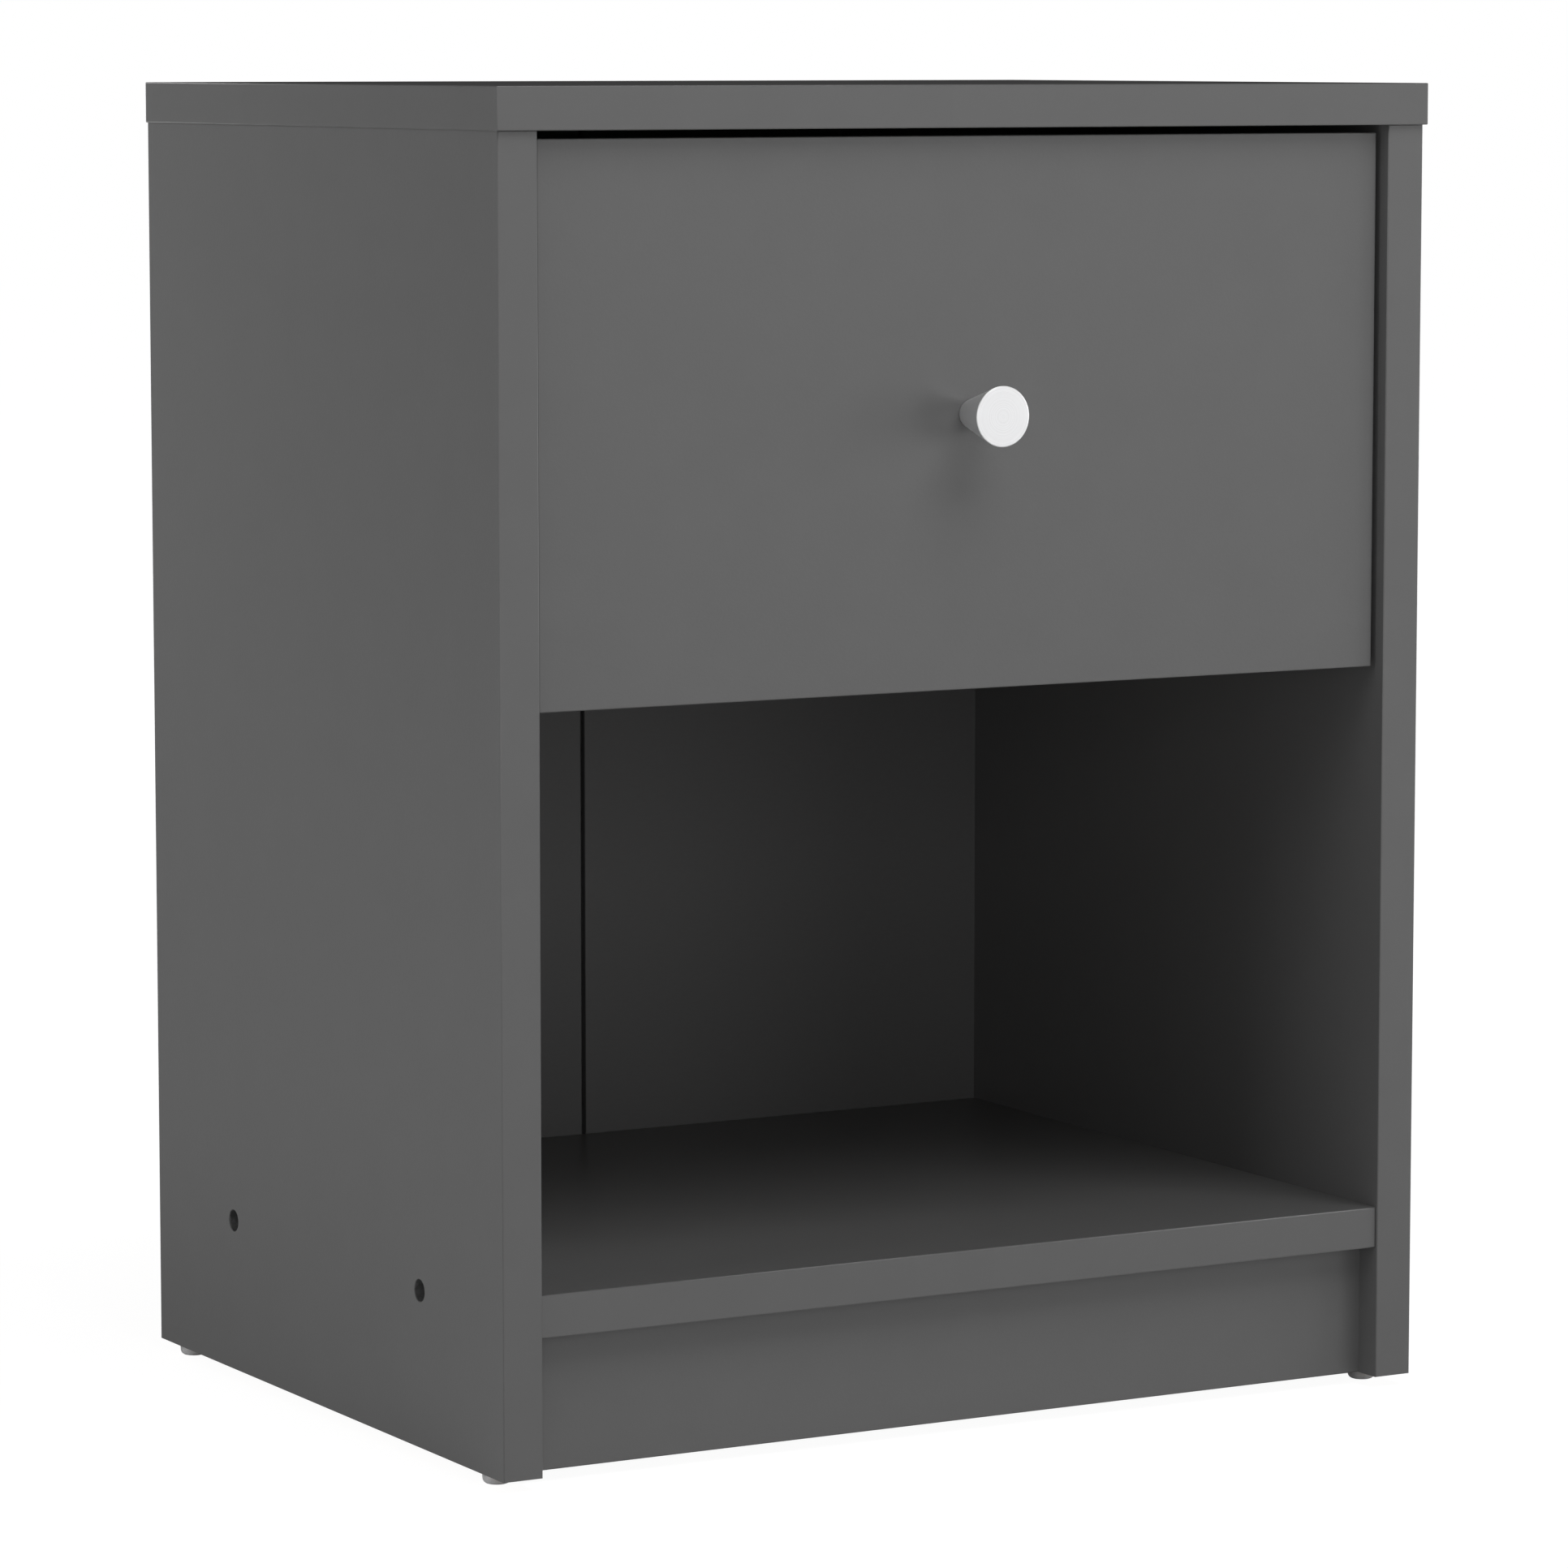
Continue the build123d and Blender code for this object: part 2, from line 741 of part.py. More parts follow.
def roller(start, direction):
    """Roller from its face next to the rail's web, with a recess for the rivet head in the other."""
    body = turned(
        start,
        direction,
        [
            (0, roller_radius - roller_edge),
            (roller_edge, roller_radius),
            (roller_width - roller_edge, roller_radius),
            (roller_width, roller_radius - roller_edge),
        ],
    )
    hole = [
        (0, axle_radius + fit),
        (roller_width - roller_recess_depth, axle_radius + fit),
        (roller_width - roller_recess_depth, roller_recess_radius),
        (roller_width, roller_recess_radius),
    ]
    return body - turned(start, direction, hole)


def cabinet_roller(side):
    x = side * (side_inner - roller_side_gap)
    return roller((x, front_roller_y, front_roller_z), inwards(side))


def drawer_roller(side):
    x = side * (side_inner - roller_side_gap - roller_width)
    return roller((x, rear_roller_y, rear_roller_z), outwards(side))


def shelf_screws():
    """Screws with a hexagon socket, sunk in the side panels."""
    made = []
    for start, direction in both(shelf_screw_places):
        frame = Plane(origin=start, z_dir=direction)
        hexagon = RegularPolygon(recess_share * shelf_screw_head_radius, 6)
        socket = extrude(hexagon, recess_share * shelf_screw_head)
        made.append(turned(start, direction, shelf_screw_outline()) - frame * socket)
    return made


def all_nodes():
    """Every node's name and its solids."""
    nodes = {
        "top_panel": top_panel(),
        "bottom_shelf": bottom_shelf(),
        "plinth": plinth(),
        "back_fold_tape": back_fold_tape(),
        "back_nails": back_nails(),
        "glide_pins": placed(both(glide_pin_places), glide_pin_outline()),
        "shelf_screws": shelf_screws(),
        "shelf_dowels": placed(both(shelf_dowel_places), dowel_outline()),
        "plinth_dowels": placed(both(plinth_dowel_places), dowel_outline()),
        "top_dowels": placed(both(top_dowel_places), dowel_outline()),
        "top_cam_bolts": placed(both(top_bolt_places), cam_bolt_outline()),
        "top_cam_locks": top_cam_locks(),
        "cabinet_rail_screws": cross_screws(
            both(cabinet_rail_screw_places), rail_screw_outline(rail_screw_length), rail_screw_head
        ),
        "drawer_front": drawer_front(),
        "drawer_back": drawer_back(),
        "drawer_bottom": drawer_bottom(),
        "drawer_bottom_nails": placed(bottom_nail_places(), bottom_nail_outline()),
        "drawer_cam_bolts": placed(both(drawer_bolt_places), cam_bolt_outline()),
        "drawer_cam_locks": drawer_cam_locks(),
        "drawer_back_screws": cross_screws(
            both(drawer_back_screw_places), back_screw_outline(), back_screw_head
        ),
        "drawer_rail_screws": cross_screws(
            both(drawer_rail_screw_places),
            rail_screw_outline(drawer_rail_screw_length),
            rail_screw_head,
        ),
        "knob": knob(),
        "knob_screw": knob_screw(),
    }
    for name, side in sides.items():
        nodes |= {
            f"side_panel_{name}": side_panel(side),
            f"back_panel_{name}": back_panel(side),
            f"glide_front_{name}": glide(side, glide_y[0]),
            f"glide_rear_{name}": glide(side, glide_y[1]),
            f"drawer_side_{name}": drawer_side(side),
            f"cabinet_rail_{name}": cabinet_rail(side),
            f"drawer_rail_{name}": drawer_rail(side),
            f"cabinet_roller_axle_{name}": cabinet_roller_axle(side),
            f"drawer_roller_axle_{name}": drawer_roller_axle(side),
            f"cabinet_roller_{name}": cabinet_roller(side),
            f"drawer_roller_{name}": drawer_roller(side),
        }
    return nodes


def main():
    os.makedirs("parts", exist_ok=True)
    for name, made in all_nodes().items():
        shape = Compound(children=made) if isinstance(made, list) else made
        export_step(shape, f"parts/{name}.step")


if __name__ == "__main__":
    main()
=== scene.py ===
"""Nightstand: one drawer above an open shelf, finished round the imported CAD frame.

Metres, with the front facing -Y, +X to the right as seen from the front and +Z up.
"""

import json
import math

import bmesh
import bpy
from bpy.props import FloatProperty, FloatVectorProperty, PointerProperty
from mathutils import Euler, Matrix, Vector


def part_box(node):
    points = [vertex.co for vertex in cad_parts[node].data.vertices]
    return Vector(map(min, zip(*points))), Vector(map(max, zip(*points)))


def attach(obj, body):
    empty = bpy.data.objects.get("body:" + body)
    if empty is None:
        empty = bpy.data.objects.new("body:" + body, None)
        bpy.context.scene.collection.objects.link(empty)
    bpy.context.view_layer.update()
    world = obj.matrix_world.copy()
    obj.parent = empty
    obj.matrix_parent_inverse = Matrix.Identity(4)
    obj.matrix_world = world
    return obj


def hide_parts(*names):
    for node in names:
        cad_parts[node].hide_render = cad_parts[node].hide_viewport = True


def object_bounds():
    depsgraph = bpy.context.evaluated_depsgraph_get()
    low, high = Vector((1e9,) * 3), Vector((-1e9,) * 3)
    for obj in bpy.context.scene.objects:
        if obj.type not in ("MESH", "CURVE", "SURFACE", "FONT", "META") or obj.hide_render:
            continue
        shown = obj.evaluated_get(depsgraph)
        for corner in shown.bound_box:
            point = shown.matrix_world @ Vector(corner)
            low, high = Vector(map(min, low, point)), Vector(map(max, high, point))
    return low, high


bl_info = {
    "name": "Nightstand with drawer",
    "version": (1, 0, 0),
    "blender": (4, 5, 0),
    "location": "View3D > Sidebar > Nightstand",
    "description": "Builds the boards, drawer, runners, fittings and studio of a nightstand",
    "category": "Add Mesh",
}

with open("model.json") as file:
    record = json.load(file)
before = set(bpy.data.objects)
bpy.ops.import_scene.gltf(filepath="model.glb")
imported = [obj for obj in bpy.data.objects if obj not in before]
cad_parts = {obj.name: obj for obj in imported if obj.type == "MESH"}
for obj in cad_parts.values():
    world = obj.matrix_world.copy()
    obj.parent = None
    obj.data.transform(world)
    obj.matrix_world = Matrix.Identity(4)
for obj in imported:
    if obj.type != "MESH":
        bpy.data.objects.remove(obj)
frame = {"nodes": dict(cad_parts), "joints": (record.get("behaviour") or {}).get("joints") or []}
cad_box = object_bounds()

MM = 0.001
# Two points closer than this are one point.
TOUCH = 0.01 * MM
# Two directions whose cosine is above this are parallel.
PARALLEL = 0.9999
SIDES = {"left": -1, "right": 1}

RIGHT, REAR, UP = Vector((1, 0, 0)), Vector((0, 1, 0)), Vector((0, 0, 1))
LEFT, FRONT, DOWN = -RIGHT, -REAR, -UP

# How many flats each rounding has, and how many each piece that is turned on a lathe.
ROUND_FLATS = {
    "board": 3,
    "hardboard": 2,
    "foil": 4,
    "knob": 4,
    "glide": 6,
    "rail": 4,
    "roller": 3,
}
TURNED_FLATS = {"knob": 96, "roller": 72, "glide": 64}


def linear(hex_colour):
    """An sRGB hex colour as linear red, green and blue."""
    parts = [int(hex_colour[k : k + 2], 16) / 255 for k in (1, 3, 5)]
    return tuple(c / 12.92 if c <= 0.04045 else ((c + 0.055) / 1.055) ** 2.4 for c in parts)


def colour(name, description, hex_colour):
    """A colour that a user can change."""
    return FloatVectorProperty(
        name=name,
        description=description,
        subtype="COLOR",
        size=3,
        min=0.0,
        max=1.0,
        default=linear(hex_colour),
    )


def length(name, description, default):
    """A length that a user can change, in metres."""
    return FloatProperty(name=name, description=description, default=default, min=0.0, unit="LENGTH")


class NightstandColours(bpy.types.PropertyGroup):
    """Colours of the nightstand's finishes."""

    melamine: colour("Melamine", "Decor paper of the carcass and the drawer front", "#656565")
    chips: colour("Chipboard", "Pressed chips where a board is sawn", "#a5835a")
    # Drilled hole walls take a dark grey in place of the chipboard's own tan: painted shade, so that a hole
    # reads as dark as the shade inside it.
    stained: colour("Drilled chips", "Stained chips on the wall of a drilled hole", "#545454")
    hardboard: colour("Painted hardboard", "Inner face of the back and of the drawer bottom", "#5d5d5d")
    raw_hardboard: colour("Raw hardboard", "Unpainted outer face of the back", "#76563c")
    foil: colour("Drawer foil", "Foil wrapped round the drawer's sides and back", "#6f6f6f")
    aluminium: colour("Aluminium", "Turned knob", "#f8f8f9")
    zinc: colour("Zinc plating", "Screws, nails, pins and axles", "#b9bcc2")
    cast_zinc: colour("Die-cast zinc", "Cam locks", "#a6a8ad")
    rail_coat: colour("Rail coating", "Powder coat of the runners", "#d6d6d2")
    roller: colour("Roller", "Acetal of the rollers", "#e9e8e1")
    glide: colour("Glide", "Polythene of the glides", "#c3c4c6")
    beech: colour("Beech", "Fluted dowels", "#c79d6d")
    tape: colour("Tape", "Cloth tape over the back's fold", "#383838")
    floor: colour("Floor", "Studio floor", "#e7e7e7")


class NightstandSizes(bpy.types.PropertyGroup):
    """Small sizes that the finished pieces add to the frame's own."""

    edge_round: length("Edge rounding", "Radius along the banded edges", 0.4 * MM)
    glue_line: length("Glue line", "Width of the joint between edging and decor paper", 0.08 * MM)
    hole_chamfer: length("Hole chamfer", "Broken edge round a drilled hole", 0.25 * MM)
    screw_hole_radius: length("Screw hole radius", "Counterbore over a shelf screw", 4.2 * MM)
    screw_hole_depth: length("Screw hole depth", "Side panel's face to the screw's head", 7 * MM)
    cam_play: length("Cam play", "Room round a cam lock in its pocket", 0.05 * MM)
    foil_round: length("Foil rounding", "Radius of the wrapped edges of the drawer's boards", 1.5 * MM)
    hardboard_round: length("Hardboard rounding", "Radius round the hardboard's edges", 0.3 * MM)
    groove_play: length("Groove play", "Room round the drawer bottom in its grooves", 0.2 * MM)
    sheet: length("Rail steel", "Thickness of the bent rails", 1.0 * MM)
    bend: length("Rail bend", "Inner radius of the bends in the rails", 0.6 * MM)
    stop_height: length("Stop height", "Bump in a cabinet rail that holds the drawer in", 3.0 * MM)
    tab_height: length("Tab height", "Tab at a cabinet rail's rear end", 14.0 * MM)
    stop_play: length("Stop play", "Room between a roller and its stops", 0.3 * MM)
    roller_hole: length("Roller hole", "Radius of the hole for the axle", 2.55 * MM)
    roller_recess: length("Roller recess", "Radius of the recess for the axle's head", 4.4 * MM)
    recess_depth: length("Recess depth", "Depth of the recess for the axle's head", 1.6 * MM)
    roller_round: length("Roller rounding", "Radius round the edges of a roller", 0.4 * MM)
    knob_base: length("Knob base", "Radius of the knob at the drawer's front", 5.3 * MM)
    knob_round: length("Knob rounding", "Radius round the knob's face", 0.5 * MM)
    glide_taper: length("Glide taper", "How much narrower a glide is at its foot", 0.4 * MM)
    glide_round: length("Glide rounding", "Radius round the foot of a glide", 1.8 * MM)
    tape_dip: length("Tape dip", "How far the tape sinks into the back's fold", 0.3 * MM)


class NightstandStudio(bpy.types.PropertyGroup):
    """Camera, lights and floor."""

    camera_place: FloatVectorProperty(
        name="Camera place",
        description="Where the camera stands",
        subtype="TRANSLATION",
        unit="LENGTH",
        size=3,
        default=(-1.2438, -2.2049, 0.5247),
    )
    camera_heading: FloatProperty(
        name="Camera heading",
        description="Turn of the camera from looking straight at the front",
        subtype="ANGLE",
        default=math.radians(29.413),
    )
    camera_tilt: FloatProperty(
        name="Camera tilt",
        description="How far the camera looks down",
        subtype="ANGLE",
        default=math.radians(6.506),
    )
    lens: FloatProperty(
        name="Lens",
        description="Focal length in millimetres on a 36 mm sensor",
        default=147.79,
        min=1.0,
    )
    light_distance: length("Light distance", "From the middle of the nightstand to each light", 3.0)
    light_size: length("Light size", "Side of each square light", 1.8)
    light_level: FloatProperty(
        name="Light level",
        description="Brightness of all the lights together",
        default=1.0,
        min=0.0,
        subtype="FACTOR",
    )
    floor_radius: length("Floor radius", "Size of the studio floor", 12.0)


# Shaping


def block(low, high):
    """A block between two corners."""
    bm = bmesh.new()
    bmesh.ops.create_cube(bm, size=1.0)
    bmesh.ops.scale(bm, vec=high - low, verts=bm.verts)
    bmesh.ops.translate(bm, vec=(low + high) / 2, verts=bm.verts)
    bm.normal_update()
    return bm


def drawn(points, along):
    """A bar: the closed outline through points, drawn out along a vector."""
    bm = bmesh.new()
    start = bm.faces.new([bm.verts.new(point) for point in points])
    made = bmesh.ops.extrude_face_region(bm, geom=[start])["geom"]
    far = [part for part in made if isinstance(part, bmesh.types.BMVert)]
    bmesh.ops.translate(bm, vec=along, verts=far)
    bmesh.ops.recalc_face_normals(bm, faces=bm.faces)
    bm.normal_update()
    return bm


def turned(points, start, direction, flats):
    """A body turned on a lathe. points are (distance from start along direction, radius).

    A ring's outline ends where it starts, and any other outline is closed by a flat at each end.
    """
    bm = bmesh.new()
    side = direction.orthogonal().normalized()
    places = [start + direction * distance + side * radius for distance, radius in points]
    ring = (places[0] - places[-1]).length < TOUCH
    verts = [bm.verts.new(place) for place in (places[:-1] if ring else places)]
    followers = verts[1:] + verts[:1] if ring else verts[1:]
    edges = [bm.edges.new(pair) for pair in zip(verts, followers)]
    bmesh.ops.spin(
        bm,
        geom=verts + edges,
        cent=start,
        axis=direction,
        angle=2 * math.pi,
        steps=flats,
        use_merge=True,
    )
    bmesh.ops.remove_doubles(bm, verts=bm.verts, dist=TOUCH)
    for face in bm.faces:
        face.smooth = True
    if not ring:
        bmesh.ops.holes_fill(bm, edges=[edge for edge in bm.edges if edge.is_boundary])
    bmesh.ops.recalc_face_normals(bm, faces=bm.faces)
    bm.normal_update()
    return bm


def bevelled(bm, edges, radius, flats):
    """Rounds the edges, and shades the round apart from the faces that it joins."""
    made = bmesh.ops.bevel(
        bm,
        geom=edges,
        offset=radius,
        offset_type="OFFSET",
        segments=flats,
        profile=0.5,
        affect="EDGES",
        material=-1,
    )["faces"]
    bm.normal_update()
    for face in made:
        face.smooth = True
        for edge in face.edges:
            if any(beside not in made for beside in edge.link_faces):
                edge.smooth = False
    return made


def creases(bm, sharper_than=math.radians(40)):
    """The edges where two faces meet at more than that angle."""
    return [edge for edge in bm.edges if edge.is_manifold and edge.calc_face_angle() > sharper_than]


def facing(bm, direction):
    """The flat faces that look along direction."""
    return [face for face in bm.faces if face.normal.dot(direction) > PARALLEL]


def edges_at(bm, axis, level, along=None):
    """The edges at that level of an axis, or those of them that run along a direction."""
    found = []
    for edge in bm.edges:
        run = (edge.verts[1].co - edge.verts[0].co).normalized()
        lies = all(abs(vert.co[axis] - level) < TOUCH for vert in edge.verts)
        if lies and (along is None or abs(run.dot(along)) > PARALLEL):
            found.append(edge)
    return found


def face_under(bm, point, normal):
    """The flat face with that normal which holds the point."""
    for face in bm.faces:
        level = abs((face.calc_center_median() - point).dot(normal)) < TOUCH
        if level and face.normal.dot(normal) > PARALLEL:
            if bmesh.geometry.intersect_face_point(face, point):
                return face
    raise ValueError(f"no face holds {tuple(point)}")


def split(bm, faces, point, direction):
    """Cuts the faces by a plane through point."""
    edges = {edge for face in faces for edge in face.edges}
    verts = {vert for face in faces for vert in face.verts}
    bmesh.ops.bisect_plane(
        bm, geom=[*faces, *edges, *verts], dist=TOUCH, plane_co=point, plane_no=direction
    )


def marked_out(bm, centre, normal, halves):
    """Cuts a rectangle of those half sizes out of the face that holds centre."""
    across = Vector((normal.y, normal.z, normal.x))
    for direction, half in zip((across, normal.cross(across)), halves):
        for way in (direction, -direction):
            split(bm, [face_under(bm, centre, normal)], centre + way * half, way)
    return face_under(bm, centre, normal)


def sunk(bm, face, way, wall):
    """Pushes a face into the board, and returns the walls that follow it."""
    bottom = bmesh.ops.extrude_discrete_faces(bm, faces=[face])["faces"][0]
    bmesh.ops.translate(bm, vec=way, verts=bottom.verts)
    bm.normal_update()
    walls = {beside for edge in bottom.edges for beside in edge.link_faces} - {bottom}
    for part in (bottom, *walls):
        part.material_index = wall
    return walls


def drill(bm, centre, into, radius, depth, wall, spokes=16, margin=1.6):
    """Drills a blind hole. centre is on the face, and wall is the material index in the hole.

    A square patch is cut out round the hole, margin radii from centre to side. Cuts across it leave two
    corners of the hole's outline to each of the spokes.
    """
    chamfer = bpy.context.scene.nightstand_sizes.hole_chamfer
    normal = -into
    square = marked_out(bm, centre, normal, (margin * radius, margin * radius))
    across = Vector((normal.y, normal.z, normal.x))
    reach = max((corner.co - centre).length for corner in square.verts) + TOUCH
    for spoke in range(spokes):
        turn = Matrix.Rotation(math.pi * spoke / spokes, 3, normal)
        patch = [
            face
            for face in facing(bm, normal)
            if all((vert.co - centre).length < reach for vert in face.verts)
        ]
        split(bm, patch, centre, turn @ across)
    middle = min(bm.verts, key=lambda vert: (vert.co - centre).length)
    bmesh.ops.bevel(
        bm,
        geom=[middle],
        offset=radius + chamfer,
        offset_type="OFFSET",
        segments=1,
        profile=0.5,
        affect="VERTICES",
        material=-1,
    )
    bm.normal_update()
    mouth = face_under(bm, centre, normal)
    rim = bmesh.ops.inset_individual(
        bm, faces=[mouth], thickness=chamfer, depth=-chamfer, use_even_offset=True
    )["faces"]
    for face in rim:
        face.material_index = wall
    for face in sunk(bm, mouth, into * (depth - chamfer), wall):
        face.smooth = True


def bent(points, radii, along, sheet, away):
    """A bent steel strip. points run round its bends, one radius to a bend, and away looks off them.

    The steel lies on the other side of the points, and the longest flat is the one that away suits.
    """
    bm = bmesh.new()
    verts = [bm.verts.new(point) for point in points]
    line = [bm.edges.new(pair) for pair in zip(verts, verts[1:])]
    made = bmesh.ops.extrude_edge_only(bm, edges=line)["geom"]
    far = [part for part in made if isinstance(part, bmesh.types.BMVert)]
    bmesh.ops.translate(bm, vec=along, verts=far)
    bmesh.ops.recalc_face_normals(bm, faces=bm.faces)
    bm.normal_update()
    if max(bm.faces, key=lambda face: face.calc_area()).normal.dot(away) < 0:
        bmesh.ops.reverse_faces(bm, faces=bm.faces)
    for point, radius in zip(points[1:-1], radii):
        fold = [
            edge
            for edge in bm.edges
            if not edge.is_boundary and (edge.verts[0].co - point).cross(along).length < TOUCH * MM
        ]
        bevelled(bm, fold, radius, ROUND_FLATS["rail"])
    bmesh.ops.solidify(bm, geom=[*bm.verts, *bm.edges, *bm.faces], thickness=sheet)
    bm.normal_update()
    for face in bm.faces:
        face.smooth = max(abs(part) for part in face.normal) < PARALLEL
    return bm


def mirrored(bm, side):
    """The shape itself for the right side, and its mirror image for the left."""
    if side < 0:
        bmesh.ops.scale(bm, vec=(-1, 1, 1), verts=bm.verts)
        bmesh.ops.reverse_faces(bm, faces=bm.faces)
        bm.normal_update()
    return bm


def joined(*parts):
    """Several shells as one shape."""
    whole = bmesh.new()
    for part in parts:
        mesh = bpy.data.meshes.new("part")
        part.to_mesh(mesh)
        part.free()
        whole.from_mesh(mesh)
        bpy.data.meshes.remove(mesh)
    whole.normal_update()
    return whole


def piece(name, bm, materials, body, slot, *replaced):
    """Makes the shape an object that rides on a body and stands for CAD nodes."""
    mesh = bpy.data.meshes.new(name)
    bm.to_mesh(mesh)
    bm.free()
    for material in materials:
        mesh.materials.append(finish(material))
    made = bpy.data.objects.new(name, mesh)
    bpy.context.scene.collection.objects.link(made)
    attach(made, body)
    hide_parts(*replaced)
    return made


def rows(node, axis, radius):
    """The centres of the one or two rows of round pieces in a CAD node, along one axis."""
    low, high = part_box(node)
    first, last = low[axis] + radius, high[axis] - radius
    return (first,) if last - first < TOUCH else (first, last)


# HOLE is the wall of a drilled hole, finished in a dark grey that paints the shade inside it.
SKIN, CORE, HOLE, EDGING, GLUE = range(5)
BOARD = ("melamine", "chips", "stained", "edging", "glue")
WRAPPED = ("foil", "chips", "stained")
PAINTED, RAW = range(2)
PRESSED = ("hardboard", "raw_hardboard")
# A face is raw where the cosine between it and the painted side is below this.
RAW_BELOW = -0.5


def banded_board(node, skin, bands):
    """A chipboard panel as large as its CAD node.

    skin is the direction across its thickness, and bands are the directions of its banded edges.
    """
    sizes = bpy.context.scene.nightstand_sizes
    bm = block(*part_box(node))
    banded = {edge for band in bands for face in facing(bm, band) for edge in face.edges}
    rounded = bevelled(bm, list(banded), sizes.edge_round, ROUND_FLATS["board"])
    for face in bm.faces:
        face.material_index = CORE
    for face in rounded:
        face.material_index = EDGING
    for band in bands:
        for face in facing(bm, band):
            face.material_index = EDGING
    for direction in (skin, -skin):
        face = max(facing(bm, direction), key=lambda face: face.calc_area())
        face.material_index = SKIN
        joint = bmesh.ops.inset_individual(
            bm, faces=[face], thickness=sizes.glue_line, depth=0.0, use_even_offset=True
        )["faces"]
        for strip in joint:
            strip.material_index = GLUE
    bm.normal_update()
    return bm


def sink_cams(bm, side, node):
    """Drills the pockets for the cam locks of one side into the board's inner face."""
    low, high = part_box(node)
    inner = min(abs(vert.co.x) for vert in bm.verts)
    radius = min(high.y - low.y, high.z - low.z) / 2
    play = bpy.context.scene.nightstand_sizes.cam_play
    for y in rows(node, 1, radius):
        for z in rows(node, 2, radius):
            centre = Vector((side * inner, y, z))
            drill(bm, centre, side * RIGHT, radius + play, high.x - inner, HOLE)


def pressed_board(node, good):
    """A hardboard panel as large as its CAD node. good is the direction of its painted face."""
    sizes = bpy.context.scene.nightstand_sizes
    bm = block(*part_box(node))
    bevelled(bm, bm.edges[:], sizes.hardboard_round, ROUND_FLATS["hardboard"])
    for face in bm.faces:
        face.material_index = RAW if face.normal.dot(good) < RAW_BELOW else PAINTED
    return bm


def wrapped_board(bm, along):
    """Wraps foil round a board's faces and its rounded top. Its ends and its underside stay bare."""
    sizes = bpy.context.scene.nightstand_sizes
    top = max(vert.co.z for vert in bm.verts)
    bevelled(bm, edges_at(bm, 2, top, along), sizes.foil_round, ROUND_FLATS["foil"])
    for face in bm.faces:
        bare = abs(face.normal.dot(along)) > PARALLEL or face.normal.z < -PARALLEL
        face.material_index = CORE if bare else SKIN
    return bm


# Finishes


def add(tree, kind, feeds=None, **settings):
    """Adds a node. feeds gives each input a value or the socket that it reads."""
    node = tree.nodes.new(kind)
    for key, value in settings.items():
        setattr(node, key, value)
    for key, value in (feeds or {}).items():
        if isinstance(value, bpy.types.NodeSocket):
            tree.links.new(value, node.inputs[key])
        else:
            node.inputs[key].default_value = value
    return node


def rgba(rgb, brightness=1.0):
    """A colour with its alpha, made lighter or darker."""
    return (*(min(1.0, part * brightness) for part in rgb), 1.0)


def blank(name, **values):
    """A new material with its shader, its node tree and its object coordinates.

    values are the shader's own settings, with an underscore for a space.
    """
    material = bpy.data.materials.new(name)
    material.use_nodes = True
    tree = material.node_tree
    tree.nodes.clear()
    feeds = {key.replace("_", " "): value for key, value in values.items()}
    shader = add(tree, "ShaderNodeBsdfPrincipled", feeds)
    add(tree, "ShaderNodeOutputMaterial", {"Surface": shader.outputs["BSDF"]})
    place = add(tree, "ShaderNodeTexCoord").outputs["Object"]
    return material, tree, shader, place


def grain(tree, place, size, detail=2.0, stretch=(1, 1, 1)):
    """Noise between 0 and 1 with spots of that size in metres, longer along a stretched axis."""
    scale = [1 / (size * part) for part in stretch]
    spread = add(tree, "ShaderNodeMapping", {"Vector": place, "Scale": scale}).outputs["Vector"]
    return add(tree, "ShaderNodeTexNoise", {"Vector": spread, "Scale": 1.0, "Detail": detail}).outputs["Fac"]


def waves(tree, value, pitch):
    """A wave between -1 and 1 that repeats every pitch metres of value."""
    turns = add(tree, "ShaderNodeMath", {0: value, 1: 2 * math.pi / pitch}, operation="MULTIPLY")
    return add(tree, "ShaderNodeMath", {0: turns.outputs["Value"]}, operation="SINE").outputs["Value"]


def weave(tree, place, pitch):
    """Crossed waves, up the piece and round it, that rise where two threads cross."""
    axes = add(tree, "ShaderNodeSeparateXYZ", {"Vector": place}).outputs
    across = add(tree, "ShaderNodeMath", {0: axes["X"], 1: axes["Y"]}).outputs["Value"]
    crossed = {0: waves(tree, across, pitch), 1: waves(tree, axes["Z"], pitch)}
    return add(tree, "ShaderNodeMath", crossed, operation="MULTIPLY").outputs["Value"]


# Noise seldom leaves this range, so the finishes spread it over their whole range of looks.
NOISE_RANGE = (0.3, 0.7)


def graded(tree, shader, factor, base, low, high):
    """Gives the shader the base colour, low times as bright to high times with the factor."""
    ramp = add(tree, "ShaderNodeValToRGB", {"Fac": factor})
    for stop, at, brightness in zip(ramp.color_ramp.elements, NOISE_RANGE, (low, high)):
        stop.position = at
        stop.color = rgba(base, brightness)
    tree.links.new(ramp.outputs["Color"], shader.inputs["Base Color"])


def ranged(tree, shader, factor, low, high):
    """Gives the shader a roughness that goes from low to high with the factor."""
    least, most = NOISE_RANGE
    feeds = {"Value": factor, "From Min": least, "From Max": most, "To Min": low, "To Max": high}
    rough = add(tree, "ShaderNodeMapRange", feeds).outputs["Result"]
    tree.links.new(rough, shader.inputs["Roughness"])


def bumped(tree, shader, height, depth, layers=("Normal",)):
    """Gives the shader's layers a relief. depth is its height in metres where height is 1."""
    relief = add(tree, "ShaderNodeBump", {"Height": height, "Distance": depth})
    for layer in layers:
        tree.links.new(relief.outputs["Normal"], shader.inputs[layer])


